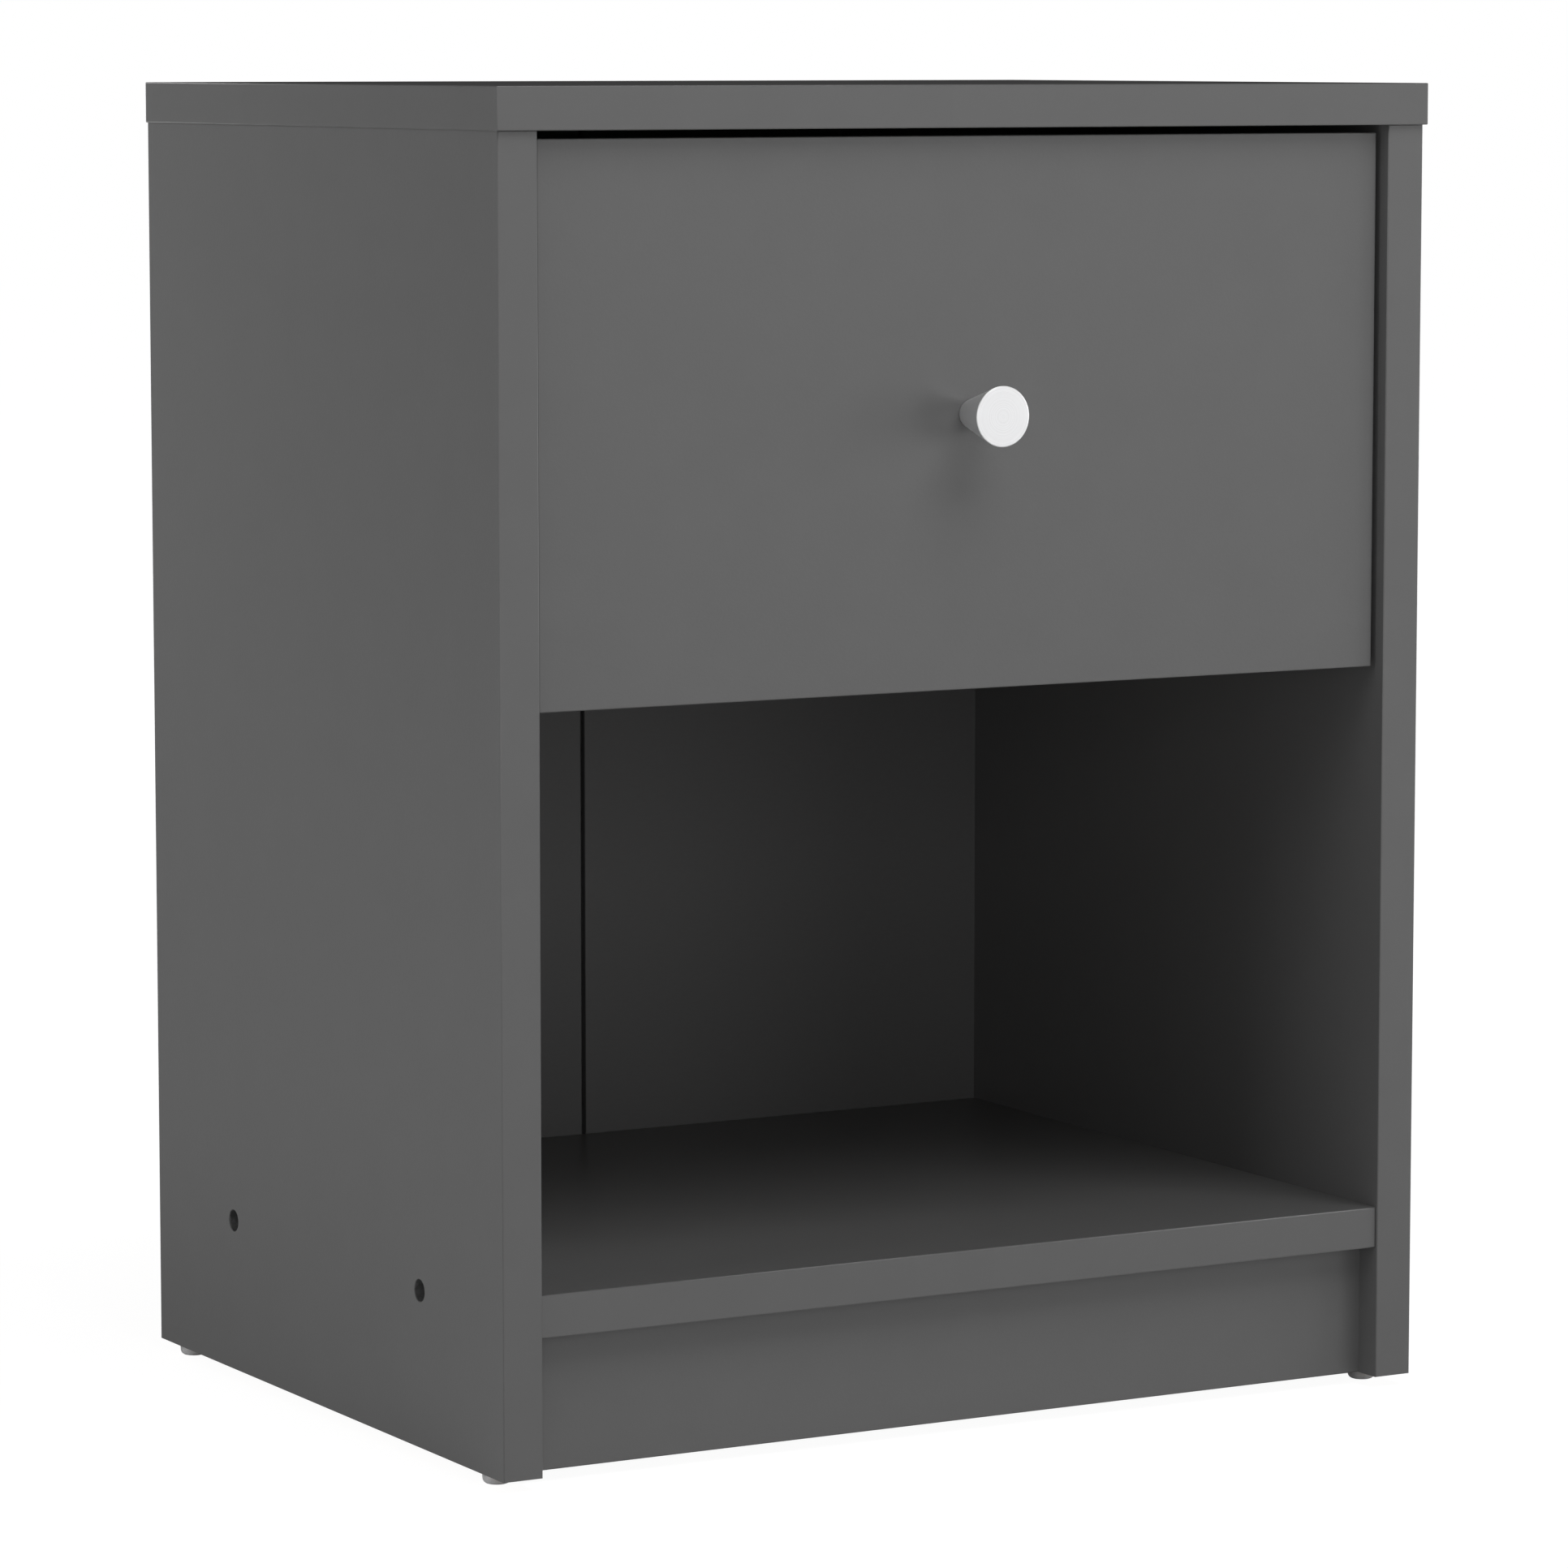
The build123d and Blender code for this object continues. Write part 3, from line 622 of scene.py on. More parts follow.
def melamine(name, base, relief=0.02 * MM):
    """Decor paper under clear melamine resin, pressed on a pearl plate.

    The paper gives an even, barely clouded grey with no gloss of its own. The resin over it gives a soft
    satin gloss that grows towards grazing views, where it darkens the paper.
    """
    # The resin's own IOR is about 1.6. 1.4 gives the weaker gloss of its pearled skin.
    resin = {"Coat_Weight": 1.0, "Coat_Roughness": 0.3, "Coat_IOR": 1.4}
    material, tree, shader, place = blank(name, Specular_IOR_Level=0.0, **resin)
    cloud = grain(tree, place, 22 * MM, detail=3)
    graded(tree, shader, cloud, base, 0.985, 1.015)
    # The real pearl is about 0.3 mm, too fine to show, so it is drawn three times as coarse.
    pearl = grain(tree, place, 1.0 * MM, detail=1)
    ranged(tree, shader, pearl, 0.42, 0.5)
    bumped(tree, shader, pearl, relief, ("Normal", "Coat Normal"))
    return material


def edging(name, base):
    """Extruded ABS edging: the same grey as the board, and smoother than it."""
    return melamine(name, base, 0.006 * MM)


def glue_line(name, base):
    """Hot-melt glue between edging and board: a hairline, a shade darker than both."""
    material, tree, shader, place = blank(name, IOR=1.5)
    beads = grain(tree, place, 4 * MM)
    graded(tree, shader, beads, base, 0.9, 0.97)
    ranged(tree, shader, beads, 0.5, 0.6)
    return material


def chipboard(name, base):
    """Sawn or drilled chipboard: flat chips a millimetre or two wide with dark gaps between."""
    material, tree, shader, place = blank(name, IOR=1.5)
    feeds = {"Vector": place, "Scale": 1 / (1.8 * MM)}
    chips = add(tree, "ShaderNodeTexVoronoi", feeds)
    shade = add(tree, "ShaderNodeSeparateColor", {"Color": chips.outputs["Color"]}).outputs["Red"]
    graded(tree, shader, shade, base, 0.7, 1.25)
    ranged(tree, shader, shade, 0.75, 0.9)
    bumped(tree, shader, chips.outputs["Distance"], 0.12 * MM)
    return material


def hardboard(name, base):
    """Hardboard lacquered on its good face: even and matt, with the fibres just felt below."""
    material, tree, shader, place = blank(name, IOR=1.5)
    fibres = grain(tree, place, 1.2 * MM, stretch=(3, 1, 1))
    graded(tree, shader, fibres, base, 0.97, 1.03)
    ranged(tree, shader, fibres, 0.48, 0.56)
    bumped(tree, shader, fibres, 0.012 * MM)
    return material


def raw_hardboard(name, base):
    """Raw hardboard, pressed wet on a wire screen: brown fibres with the screen's mesh in them."""
    material, tree, shader, place = blank(name, IOR=1.5)
    fibres = grain(tree, place, 1.5 * MM, detail=4, stretch=(1, 1, 3))
    graded(tree, shader, fibres, base, 0.72, 1.2)
    ranged(tree, shader, fibres, 0.7, 0.85)
    # The screen has about 1.2 mm from wire to wire, drawn here at 1.6 mm so that it shows.
    bumped(tree, shader, weave(tree, place, 1.6 * MM), 0.05 * MM)
    return material


def linen_foil(name, base):
    """Paper foil wrapped round a board: a soft grey with a linen weave rolled into it."""
    material, tree, shader, place = blank(name, IOR=1.5)
    cloud = grain(tree, place, 6 * MM)
    graded(tree, shader, cloud, base, 0.96, 1.04)
    ranged(tree, shader, cloud, 0.5, 0.6)
    # Linen threads are about 0.4 mm apart, drawn here at 0.9 mm so that they show.
    bumped(tree, shader, weave(tree, place, 0.9 * MM), 0.015 * MM)
    return material


def turned_aluminium(name, base):
    """Aluminium turned on a lathe and dulled: fine rings round the axis that draw its sheen out."""
    material, tree, shader, place = blank(name, Metallic=1.0)
    low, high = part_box("knob")
    middle = (low + high) / 2
    level = add(tree, "ShaderNodeMapping", {"Vector": place, "Location": (-middle.x, 0, -middle.z)})
    axes = add(tree, "ShaderNodeSeparateXYZ", {"Vector": level.outputs["Vector"]}).outputs
    flat = add(tree, "ShaderNodeCombineXYZ", {"X": axes["X"], "Z": axes["Z"]}).outputs["Vector"]
    radius = add(tree, "ShaderNodeVectorMath", {0: flat}, operation="LENGTH").outputs["Value"]
    path = add(tree, "ShaderNodeMath", {0: radius, 1: axes["Y"]}, operation="SUBTRACT").outputs["Value"]
    # The tool leaves a ring about every 0.15 mm, drawn here at 0.4 mm so that it shows.
    feeds = {"W": path, "Scale": 1 / (0.4 * MM), "Detail": 1.0}
    rings = add(tree, "ShaderNodeTexNoise", feeds, noise_dimensions="1D").outputs["Fac"]
    graded(tree, shader, rings, base, 0.95, 1.03)
    ranged(tree, shader, rings, 0.44, 0.54)
    bumped(tree, shader, rings, 0.008 * MM)
    return material


def zinc_plated(name, base):
    """Steel plated with bright zinc: a cool sheen that clouds over in spots a few millimetres wide."""
    material, tree, shader, place = blank(name, Metallic=1.0)
    cloud = grain(tree, place, 2.5 * MM, detail=3)
    graded(tree, shader, cloud, base, 0.85, 1.05)
    ranged(tree, shader, cloud, 0.25, 0.42)
    bumped(tree, shader, grain(tree, place, 0.4 * MM), 0.006 * MM)
    return material


def die_cast_zinc(name, base):
    """Zinc alloy as it leaves the die: dull, with a fine flow pattern in its skin."""
    material, tree, shader, place = blank(name, Metallic=1.0)
    flow = grain(tree, place, 1.5 * MM, detail=4)
    graded(tree, shader, flow, base, 0.8, 1.05)
    ranged(tree, shader, flow, 0.42, 0.58)
    bumped(tree, shader, flow, 0.02 * MM)
    return material


def powder_coat(name, base):
    """Baked powder coat on steel strip: satin, with the shallow dimples called orange peel."""
    material, tree, shader, place = blank(name, IOR=1.52)
    peel = grain(tree, place, 1.1 * MM, detail=1)
    graded(tree, shader, peel, base, 0.98, 1.02)
    ranged(tree, shader, peel, 0.34, 0.42)
    bumped(tree, shader, peel, 0.02 * MM)
    return material


def moulded_plastic(name, base):
    """Injection-moulded acetal: opaque, white and slightly waxy, with a spark-eroded mould's grain."""
    material, tree, shader, place = blank(name, IOR=1.48)
    skin = grain(tree, place, 0.7 * MM)
    graded(tree, shader, skin, base, 0.97, 1.02)
    ranged(tree, shader, skin, 0.32, 0.42)
    bumped(tree, shader, skin, 0.008 * MM)
    return material


def polythene(name, base):
    """Injection-moulded polythene: milky, so that light spreads a little way inside it."""
    material, tree, shader, place = blank(
        name, IOR=1.51, Subsurface_Weight=0.35, Subsurface_Radius=(1.0, 1.0, 1.0), Subsurface_Scale=2 * MM
    )
    skin = grain(tree, place, 0.9 * MM)
    graded(tree, shader, skin, base, 0.96, 1.03)
    ranged(tree, shader, skin, 0.3, 0.4)
    bumped(tree, shader, skin, 0.01 * MM)
    return material


def beech(name, base, stretch):
    """Beech turned and fluted: pale wood with short dark flecks along its grain."""
    material, tree, shader, place = blank(name, IOR=1.5)
    flecks = grain(tree, place, 0.5 * MM, detail=3, stretch=stretch)
    graded(tree, shader, flecks, base, 0.75, 1.1)
    ranged(tree, shader, flecks, 0.55, 0.7)
    bumped(tree, shader, flecks, 0.05 * MM)
    return material


def beech_across(name, base):
    """A dowel whose grain runs across the nightstand."""
    return beech(name, base, (12, 1, 1))


def beech_upright(name, base):
    """A dowel whose grain stands upright."""
    return beech(name, base, (1, 1, 12))


def cloth_tape(name, base):
    """Cloth tape: a plain cotton weave pressed into a dull plastic film."""
    material, tree, shader, place = blank(name, IOR=1.5)
    # Its threads are about 0.5 mm apart, drawn here at 1 mm so that they show.
    threads = weave(tree, place, 1.0 * MM)
    cloud = grain(tree, place, 8 * MM, stretch=(1, 1, 3))
    graded(tree, shader, cloud, base, 0.85, 1.15)
    ranged(tree, shader, cloud, 0.6, 0.72)
    bumped(tree, shader, threads, 0.04 * MM)
    return material


# Each finish: who makes it, the colour it takes, and the name of its material.
FINISHES = {
    "melamine": (melamine, "melamine", "pressed melamine, pearl matt"),
    "edging": (edging, "melamine", "extruded ABS edging"),
    "glue": (glue_line, "melamine", "hot-melt glue line"),
    "chips": (chipboard, "chips", "sawn chipboard"),
    # The drilled finish is chipboard in a dark grey: painted shade on the hole walls.
    "stained": (chipboard, "stained", "stained chipboard, drilled"),
    "hardboard": (hardboard, "hardboard", "lacquered hardboard"),
    "raw_hardboard": (raw_hardboard, "raw_hardboard", "raw hardboard, screen pressed"),
    "foil": (linen_foil, "foil", "linen-embossed foil"),
    "aluminium": (turned_aluminium, "aluminium", "satin turned aluminium"),
    "zinc": (zinc_plated, "zinc", "zinc-plated steel"),
    "cast_zinc": (die_cast_zinc, "cast_zinc", "die-cast zinc alloy"),
    "rail_coat": (powder_coat, "rail_coat", "powder-coated steel"),
    "acetal": (moulded_plastic, "roller", "moulded acetal"),
    "polythene": (polythene, "glide", "moulded polythene"),
    "beech_across": (beech_across, "beech", "fluted beech, lying"),
    "beech_upright": (beech_upright, "beech", "fluted beech, upright"),
    "tape": (cloth_tape, "tape", "woven cloth tape"),
}


def finish(key):
    """The material of that finish, made when the first piece needs it."""
    make, tone, name = FINISHES[key]
    base = getattr(bpy.context.scene.nightstand_colours, tone)
    return bpy.data.materials.get(name) or make(name, base)


# Pieces


class NIGHTSTAND_OT_carcass(bpy.types.Operator):
    """Top, shelf and plinth, banded where their edges show."""

    bl_idname = "nightstand.carcass"
    bl_label = "Top, shelf and plinth"

    def execute(self, context):
        top = banded_board("top_panel", UP, (FRONT, REAR, LEFT, RIGHT))
        piece("top_board", top, BOARD, "cabinet", "grey_melamine", "top_panel")
        shelf = banded_board("bottom_shelf", UP, (FRONT,))
        piece("shelf_board", shelf, BOARD, "cabinet", "grey_melamine", "bottom_shelf")
        plinth = banded_board("plinth", FRONT, (DOWN,))
        piece("plinth_board", plinth, BOARD, "cabinet", "grey_melamine", "plinth")
        return {"FINISHED"}


class NIGHTSTAND_OT_sides(bpy.types.Operator):
    """Side boards, with the open holes over the shelf screws and the pockets for the cam locks."""

    bl_idname = "nightstand.sides"
    bl_label = "Sides"

    def execute(self, context):
        sizes = context.scene.nightstand_sizes
        low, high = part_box("shelf_screws")
        head = (high.z - low.z) / 2
        for name, side in SIDES.items():
            node = f"side_panel_{name}"
            board = banded_board(node, RIGHT, (FRONT,))
            outer = max(abs(vert.co.x) for vert in board.verts)
            radius, depth = sizes.screw_hole_radius, sizes.screw_hole_depth
            for y in rows("shelf_screws", 1, head):
                mouth = Vector((side * outer, y, (low.z + high.z) / 2))
                drill(board, mouth, -side * RIGHT, radius, depth, HOLE)
            sink_cams(board, side, "top_cam_locks")
            piece(f"side_board_{name}", board, BOARD, "cabinet", "grey_melamine", node)
        return {"FINISHED"}


class NIGHTSTAND_OT_back(bpy.types.Operator):
    """Folding hardboard back in two halves, and the tape that joins them."""

    bl_idname = "nightstand.back"
    bl_label = "Back"

    def execute(self, context):
        for name in SIDES:
            node = f"back_panel_{name}"
            half = pressed_board(node, FRONT)
            piece(f"back_half_{name}", half, PRESSED, "cabinet", "grey_hardboard", node)
        dip = context.scene.nightstand_sizes.tape_dip
        low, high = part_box("back_fold_tape")
        gap_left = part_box("back_panel_left")[1].x
        gap_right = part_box("back_panel_right")[0].x
        middle = (gap_left + gap_right) / 2
        inner = [(low.x, 0), (gap_left, 0), (middle, dip), (gap_right, 0), (high.x, 0)]
        outer = [(high.x, 0), (gap_right + dip, 0), (middle, dip), (gap_left - dip, 0), (low.x, 0)]
        outline = [Vector((x, low.y - fall, low.z)) for x, fall in inner]
        outline += [Vector((x, high.y - fall, low.z)) for x, fall in outer]
        tape = drawn(outline, UP * (high.z - low.z))
        piece("fold_tape", tape, ["tape"], "cabinet", "hinge_tape", "back_fold_tape")
        return {"FINISHED"}


class NIGHTSTAND_OT_drawer(bpy.types.Operator):
    """Drawer front, and the box behind it with its hardboard bottom in a groove."""

    bl_idname = "nightstand.drawer"
    bl_label = "Drawer"

    def front(self, groove_x, groove_low, groove_high, depth):
        """The drawer's front board, with its groove that deep in its inner face."""
        board = banded_board("drawer_front", FRONT, (UP, DOWN, LEFT, RIGHT))
        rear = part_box("drawer_front")[1].y
        centre = Vector((0, rear, (groove_low + groove_high) / 2))
        mouth = marked_out(board, centre, REAR, (groove_x, (groove_high - groove_low) / 2))
        sunk(board, mouth, FRONT * depth, CORE)
        piece("drawer_front_board", board, BOARD, "drawer", "grey_melamine", "drawer_front")

    def sides(self, groove_x, groove_low, groove_high):
        """The drawer's side boards, drawn out from their grooved outline."""
        low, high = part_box("drawer_side_right")
        outline = [(low.x, low.z), (high.x, low.z), (high.x, high.z), (low.x, high.z)]
        outline += [(low.x, groove_high), (groove_x, groove_high)]
        outline += [(groove_x, groove_low), (low.x, groove_low)]
        for name, side in SIDES.items():
            bar = drawn([Vector((x, low.y, z)) for x, z in outline], REAR * (high.y - low.y))
            board = mirrored(wrapped_board(bar, REAR), side)
            sink_cams(board, side, "drawer_cam_locks")
            node = f"drawer_side_{name}"
            piece(f"{node}_board", board, WRAPPED, "drawer", "drawer_foil_board", node)

    def execute(self, context):
        play = context.scene.nightstand_sizes.groove_play
        low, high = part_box("drawer_bottom")
        groove = (high.x + play, low.z, high.z + play)
        self.front(*groove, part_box("drawer_front")[1].y - low.y + play)
        self.sides(*groove)
        back = wrapped_board(block(*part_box("drawer_back")), RIGHT)
        piece("drawer_back_board", back, WRAPPED, "drawer", "drawer_foil_board", "drawer_back")
        base = pressed_board("drawer_bottom", UP)
        piece("drawer_base", base, PRESSED, "drawer", "grey_hardboard", "drawer_bottom")
        return {"FINISHED"}


class NIGHTSTAND_OT_knob(bpy.types.Operator):
    """Turned knob that widens towards its face."""

    bl_idname = "nightstand.knob"
    bl_label = "Knob"

    def execute(self, context):
        sizes = context.scene.nightstand_sizes
        low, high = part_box("knob")
        base = Vector(((low.x + high.x) / 2, high.y, (low.z + high.z) / 2))
        outline = [(0, sizes.knob_base), (high.y - low.y, (high.x - low.x) / 2)]
        knob = turned(outline, base, FRONT, TURNED_FLATS["knob"])
        bevelled(knob, creases(knob), sizes.knob_round, ROUND_FLATS["knob"])
        piece("turned_knob", knob, ["aluminium"], "drawer", "satin_aluminium", "knob")
        return {"FINISHED"}


class NIGHTSTAND_OT_glides(bpy.types.Operator):
    """Four glides, nailed under the side boards."""

    bl_idname = "nightstand.glides"
    bl_label = "Glides"

    def execute(self, context):
        sizes = context.scene.nightstand_sizes
        for end in ("front", "rear"):
            for name in SIDES:
                node = f"glide_{end}_{name}"
                low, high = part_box(node)
                middle = (low + high) / 2
                radius = (high.x - low.x) / 2
                outline = [(0, radius), (high.z - low.z, radius - sizes.glide_taper)]
                top = Vector((middle.x, middle.y, high.z))
                glide = turned(outline, top, DOWN, TURNED_FLATS["glide"])
                rim = edges_at(glide, 2, low.z)
                bevelled(glide, rim, sizes.glide_round, ROUND_FLATS["glide"])
                piece(f"{node}_foot", glide, ["polythene"], "cabinet", "glide_plastic", node)
        return {"FINISHED"}


class NIGHTSTAND_OT_runners(bpy.types.Operator):
    """Bent steel rails on the side boards and under the drawer's sides, and their four rollers."""

    bl_idname = "nightstand.runners"
    bl_label = "Runners"

    def stop(self, low, high, along, radius):
        """A stop on a channel's floor. Its upper edges, or those that run along, are rounded."""
        made = block(low, high)
        bevelled(made, edges_at(made, 2, high.z, along), radius, ROUND_FLATS["rail"])
        return made

    def stops(self, sizes, low, high):
        """The bump that the roller meets when the drawer is out, and the tab behind it when it is in."""
        roller_low, roller_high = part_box("drawer_roller_right")
        roller = (roller_low + roller_high) / 2
        radius = roller_high.z - roller.z
        slide = next(joint for joint in frame["joints"] if joint["name"] == "drawer_slide")
        travel = slide["range_m"][1]
        track = low.z + sizes.sheet
        foot = track - sizes.sheet / 2
        inner, outer = low.x + sizes.sheet, high.x - sizes.sheet
        drop = roller.z - track - sizes.stop_height
        rear = roller.y - travel - math.sqrt(radius**2 - drop**2) - sizes.stop_play
        bump_low = Vector((inner, rear - sizes.stop_height, foot))
        bump_high = Vector((outer, rear, track + sizes.stop_height))
        front = roller_high.y + sizes.stop_play
        tab_low = Vector((inner, front, foot))
        tab_high = Vector((outer, front + sizes.sheet, track + sizes.tab_height))
        bump_round, tab_round = sizes.stop_height / 3, 2 * sizes.sheet
        bump = self.stop(bump_low, bump_high, None, bump_round)
        tab = self.stop(tab_low, tab_high, REAR, tab_round)
        return bump, tab

    def cabinet_rail(self, sizes):
        """The right-hand channel, with the stops that hold the drawer."""
        low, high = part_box("cabinet_rail_right")
        turns = [(low.x, high.z), (high.x, high.z), (high.x, low.z), (low.x, low.z)]
        points = [Vector((x, low.y, z)) for x, z in turns]
        bend = sizes.bend + sizes.sheet
        channel = bent(points, (bend, bend), REAR * (high.y - low.y), sizes.sheet, RIGHT)
        return joined(channel, *self.stops(sizes, low, high))

    def drawer_rail(self, sizes):
        """The right-hand rail, whose flange runs on the cabinet's roller."""
        low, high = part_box("drawer_rail_right")
        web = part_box("drawer_side_right")[1].x
        foot = low.z + sizes.sheet
        turns = [(high.x, high.z), (web, high.z), (web, foot), (low.x, foot)]
        points = [Vector((x, low.y, z)) for x, z in turns]
        bends = (sizes.bend + sizes.sheet, sizes.bend)
        return bent(points, bends, REAR * (high.y - low.y), sizes.sheet, LEFT)

    def roller(self, sizes, node, web_side):
        """A roller whose plain face looks to web_side. The other has a recess for the axle's head."""
        low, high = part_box(node)
        middle = (low + high) / 2
        width, radius = high.x - low.x, (high.z - low.z) / 2
        floor = width - sizes.recess_depth
        outline = [(0, sizes.roller_hole), (0, radius), (width, radius), (width, sizes.roller_recess)]
        outline += [(floor, sizes.roller_recess), (floor, sizes.roller_hole), (0, sizes.roller_hole)]
        made = turned(outline, middle + web_side * width / 2, -web_side, TURNED_FLATS["roller"])
        bevelled(made, creases(made), sizes.roller_round, ROUND_FLATS["roller"])
        return made

    def execute(self, context):
        sizes = context.scene.nightstand_sizes
        for name, side in SIDES.items():
            for owner, rail in (("cabinet", self.cabinet_rail), ("drawer", self.drawer_rail)):
                node = f"{owner}_rail_{name}"
                made = mirrored(rail(sizes), side)
                piece(f"{owner}_runner_{name}", made, ["rail_coat"], owner, "powder_coated_steel", node)
            for owner, web_side in (("cabinet", side * RIGHT), ("drawer", -side * RIGHT)):
                node = f"{owner}_roller_{name}"
                wheel = self.roller(sizes, node, web_side)
                piece(f"{owner}_wheel_{name}", wheel, ["acetal"], node, "roller_plastic", node)
        return {"FINISHED"}


# Each carried-over node and its finish.
FITTINGS = {
    "back_nails": "zinc",
    "glide_pins": "zinc",
    "shelf_screws": "zinc",
    "shelf_dowels": "beech_across",
    "plinth_dowels": "beech_across",
    "top_dowels": "beech_upright",
    "top_cam_bolts": "zinc",
    "top_cam_locks": "cast_zinc",
    "cabinet_rail_screws": "zinc",
    "cabinet_roller_axle_left": "zinc",
    "cabinet_roller_axle_right": "zinc",
    "drawer_rail_screws": "zinc",
    "drawer_roller_axle_left": "zinc",
    "drawer_roller_axle_right": "zinc",
    "drawer_bottom_nails": "zinc",
    "drawer_cam_bolts": "zinc",
    "drawer_cam_locks": "cast_zinc",
    "drawer_back_screws": "zinc",
    "knob_screw": "zinc",
}


class NIGHTSTAND_OT_fittings(bpy.types.Operator):
    """Finishes of the screws, nails, dowels, locks and axles, whose shapes are the frame's own."""

    bl_idname = "nightstand.fittings"
    bl_label = "Fittings"

    def execute(self, context):
        for node, key in FITTINGS.items():
            for material_slot in frame["nodes"][node].material_slots:
                material_slot.material = finish(key)
        return {"FINISHED"}


# Studio

# Each light's turn round the nightstand from the front and height above the level, in degrees, and watts.
LIGHTS = {
    "left": (-90, 2, 20),
    "high left": (-90, 20, 20),
    "high front left": (-45, 40, 5),
    "front left": (-20, 2, 18),
    "front right": (30, 2, 12),
    "high front": (15, 55, 40),
    "right": (70, 2, 40),
    "rear": (180, 2, 30),
}
# How brightly the floor by the nightstand and the far floor and sky show by themselves.
FLOOR_GLOW = 0.95
SKY_GLOW = 1.0
# The share of its shadow that the floor shows, and how far off, in metres, it has died away.
FLOOR_SHADOW = 0.2
SHADOW_FROM = 0.3
SHADOW_TO = 1.2
FLOOR_SIDES = 96


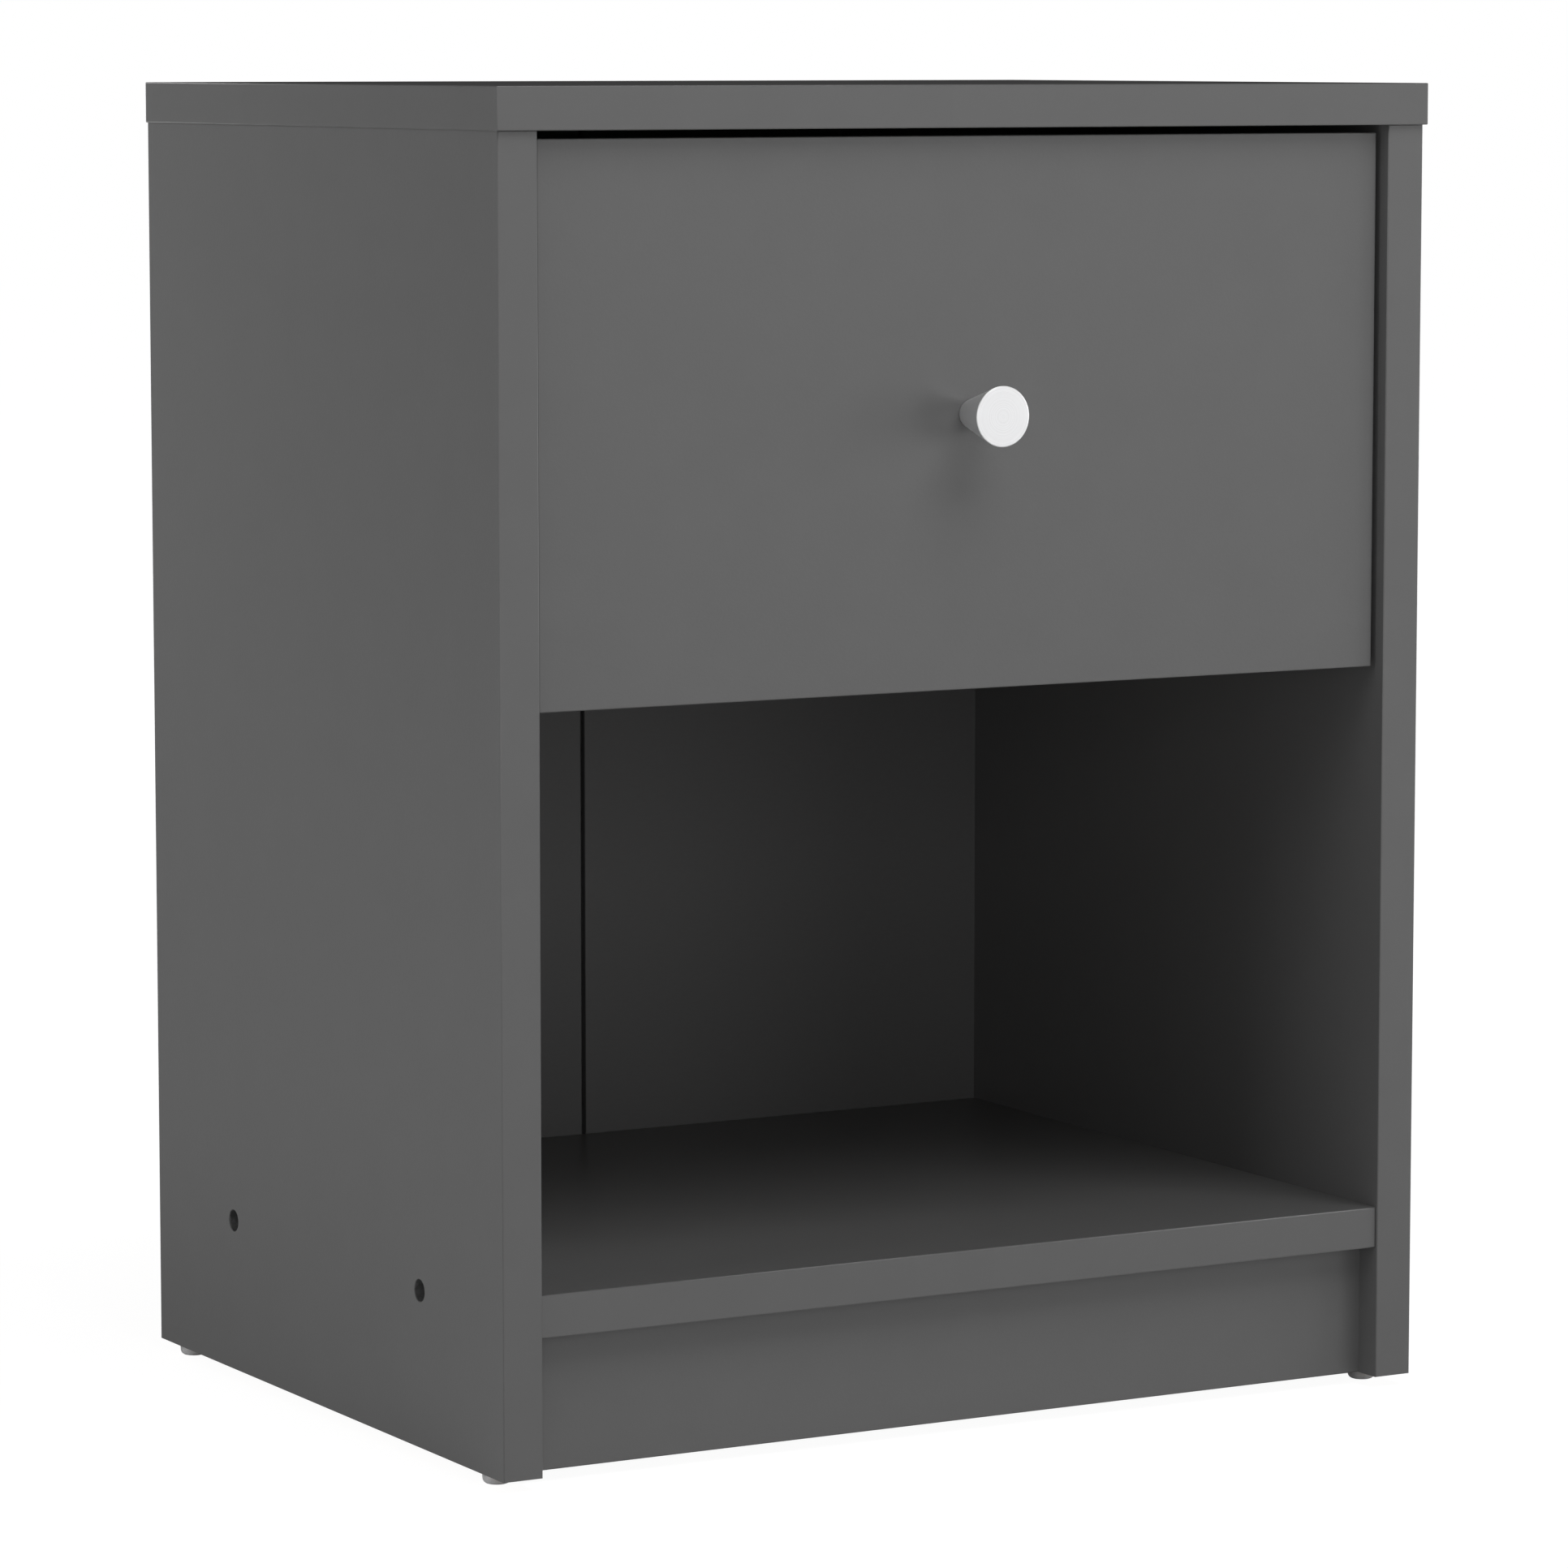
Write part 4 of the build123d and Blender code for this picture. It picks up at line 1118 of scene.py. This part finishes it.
class NIGHTSTAND_OT_stage(bpy.types.Operator):
    """Floor, lights and camera."""

    bl_idname = "nightstand.stage"
    bl_label = "Studio"

    def floor(self, context):
        """A white floor, which gives the camera an even white and takes a faint shadow."""
        bm = bmesh.new()
        radius = context.scene.nightstand_studio.floor_radius
        bmesh.ops.create_circle(bm, cap_ends=True, segments=FLOOR_SIDES, radius=radius)
        mesh = bpy.data.meshes.new("floor")
        bm.to_mesh(mesh)
        bm.free()
        material = bpy.data.materials.new("white studio floor")
        material.use_nodes = True
        tree = material.node_tree
        tree.nodes.clear()
        base = rgba(context.scene.nightstand_colours.floor)
        paper = add(tree, "ShaderNodeBsdfDiffuse", {"Color": base}).outputs["BSDF"]
        faint = add(tree, "ShaderNodeBsdfDiffuse", {"Color": rgba(base[:3], FLOOR_SHADOW)}).outputs["BSDF"]
        place = add(tree, "ShaderNodeTexCoord").outputs["Object"]
        away = add(tree, "ShaderNodeVectorMath", {0: place}, operation="LENGTH").outputs["Value"]
        fade = {"From Min": SHADOW_FROM, "From Max": SHADOW_TO}
        feeds = {"Value": away, **fade, "To Min": FLOOR_GLOW, "To Max": SKY_GLOW}
        level = add(tree, "ShaderNodeMapRange", feeds).outputs["Result"]
        glow = add(tree, "ShaderNodeEmission", {"Strength": level}).outputs["Emission"]
        shown = add(tree, "ShaderNodeAddShader", {0: faint, 1: glow}).outputs["Shader"]
        seen = add(tree, "ShaderNodeLightPath").outputs["Is Camera Ray"]
        mixed = add(tree, "ShaderNodeMixShader", {0: seen, 1: paper, 2: shown}).outputs["Shader"]
        add(tree, "ShaderNodeOutputMaterial", {"Surface": mixed})
        mesh.materials.append(material)
        floor = bpy.data.objects.new("floor", mesh)
        context.scene.collection.objects.link(floor)

    def world(self, scene):
        """White behind the nightstand, and dark for everything but the camera."""
        world = bpy.data.worlds.new("studio")
        world.use_nodes = True
        tree = world.node_tree
        tree.nodes.clear()
        seen = add(tree, "ShaderNodeLightPath").outputs["Is Camera Ray"]
        level = add(tree, "ShaderNodeMath", {0: seen, 1: SKY_GLOW}, operation="MULTIPLY").outputs["Value"]
        feeds = {"Color": (1, 1, 1, 1), "Strength": level}
        sky = add(tree, "ShaderNodeBackground", feeds).outputs["Background"]
        add(tree, "ShaderNodeOutputWorld", {"Surface": sky})
        scene.world = world

    def lights(self, scene, studio):
        """Large soft lights in a ring round the middle of the nightstand."""
        middle = (cad_box[0] + cad_box[1]) / 2
        for name, (turn, lift, watts) in LIGHTS.items():
            light = bpy.data.lights.new(name, "AREA")
            light.shape = "SQUARE"
            light.size = studio.light_size
            light.energy = watts * studio.light_level
            lamp = bpy.data.objects.new(name, light)
            scene.collection.objects.link(lamp)
            facing_lamp = Euler((math.radians(90 - lift), 0, math.radians(turn)))
            lamp.rotation_euler = facing_lamp
            lamp.location = middle + facing_lamp.to_matrix() @ UP * studio.light_distance
            lamp.visible_camera = False

    def camera(self, scene, studio):
        """The camera, level across and looking a little down."""
        camera = bpy.data.objects.new("camera", bpy.data.cameras.new("camera"))
        scene.collection.objects.link(camera)
        camera.data.lens = studio.lens
        camera.data.clip_end = 4 * studio.floor_radius
        camera.location = studio.camera_place
        camera.rotation_euler = Euler((math.pi / 2 - studio.camera_tilt, 0, -studio.camera_heading))
        scene.camera = camera

    def execute(self, context):
        scene = context.scene
        studio = scene.nightstand_studio
        self.floor(context)
        self.world(scene)
        self.lights(scene, studio)
        self.camera(scene, studio)
        scene.view_settings.view_transform = "Standard"
        return {"FINISHED"}


GROUPS = {
    "nightstand_colours": NightstandColours,
    "nightstand_sizes": NightstandSizes,
    "nightstand_studio": NightstandStudio,
}
STEPS = (
    NIGHTSTAND_OT_carcass,
    NIGHTSTAND_OT_sides,
    NIGHTSTAND_OT_back,
    NIGHTSTAND_OT_drawer,
    NIGHTSTAND_OT_knob,
    NIGHTSTAND_OT_glides,
    NIGHTSTAND_OT_runners,
    NIGHTSTAND_OT_fittings,
    NIGHTSTAND_OT_stage,
)


class NIGHTSTAND_PT_panel(bpy.types.Panel):
    """Lists the nightstand's steps, and its colours and sizes."""

    bl_idname = "NIGHTSTAND_PT_panel"
    bl_label = "Nightstand"
    bl_space_type = "VIEW_3D"
    bl_region_type = "UI"
    bl_category = "Nightstand"

    def draw(self, context):
        for step in STEPS:
            self.layout.operator(step.bl_idname)
        for name, group in GROUPS.items():
            column = self.layout.column()
            for key in group.__annotations__:
                column.prop(getattr(context.scene, name), key)


CLASSES = (*GROUPS.values(), *STEPS, NIGHTSTAND_PT_panel)


def register():
    for cls in CLASSES:
        bpy.utils.register_class(cls)
    for name, group in GROUPS.items():
        setattr(bpy.types.Scene, name, PointerProperty(type=group))


def unregister():
    for name in GROUPS:
        delattr(bpy.types.Scene, name)
    for cls in reversed(CLASSES):
        bpy.utils.unregister_class(cls)


def main():
    """Builds the nightstand and its studio."""
    register()
    for step in STEPS:
        group, name = step.bl_idname.split(".")
        getattr(getattr(bpy.ops, group), name)()


if __name__ == "__main__":
    main()
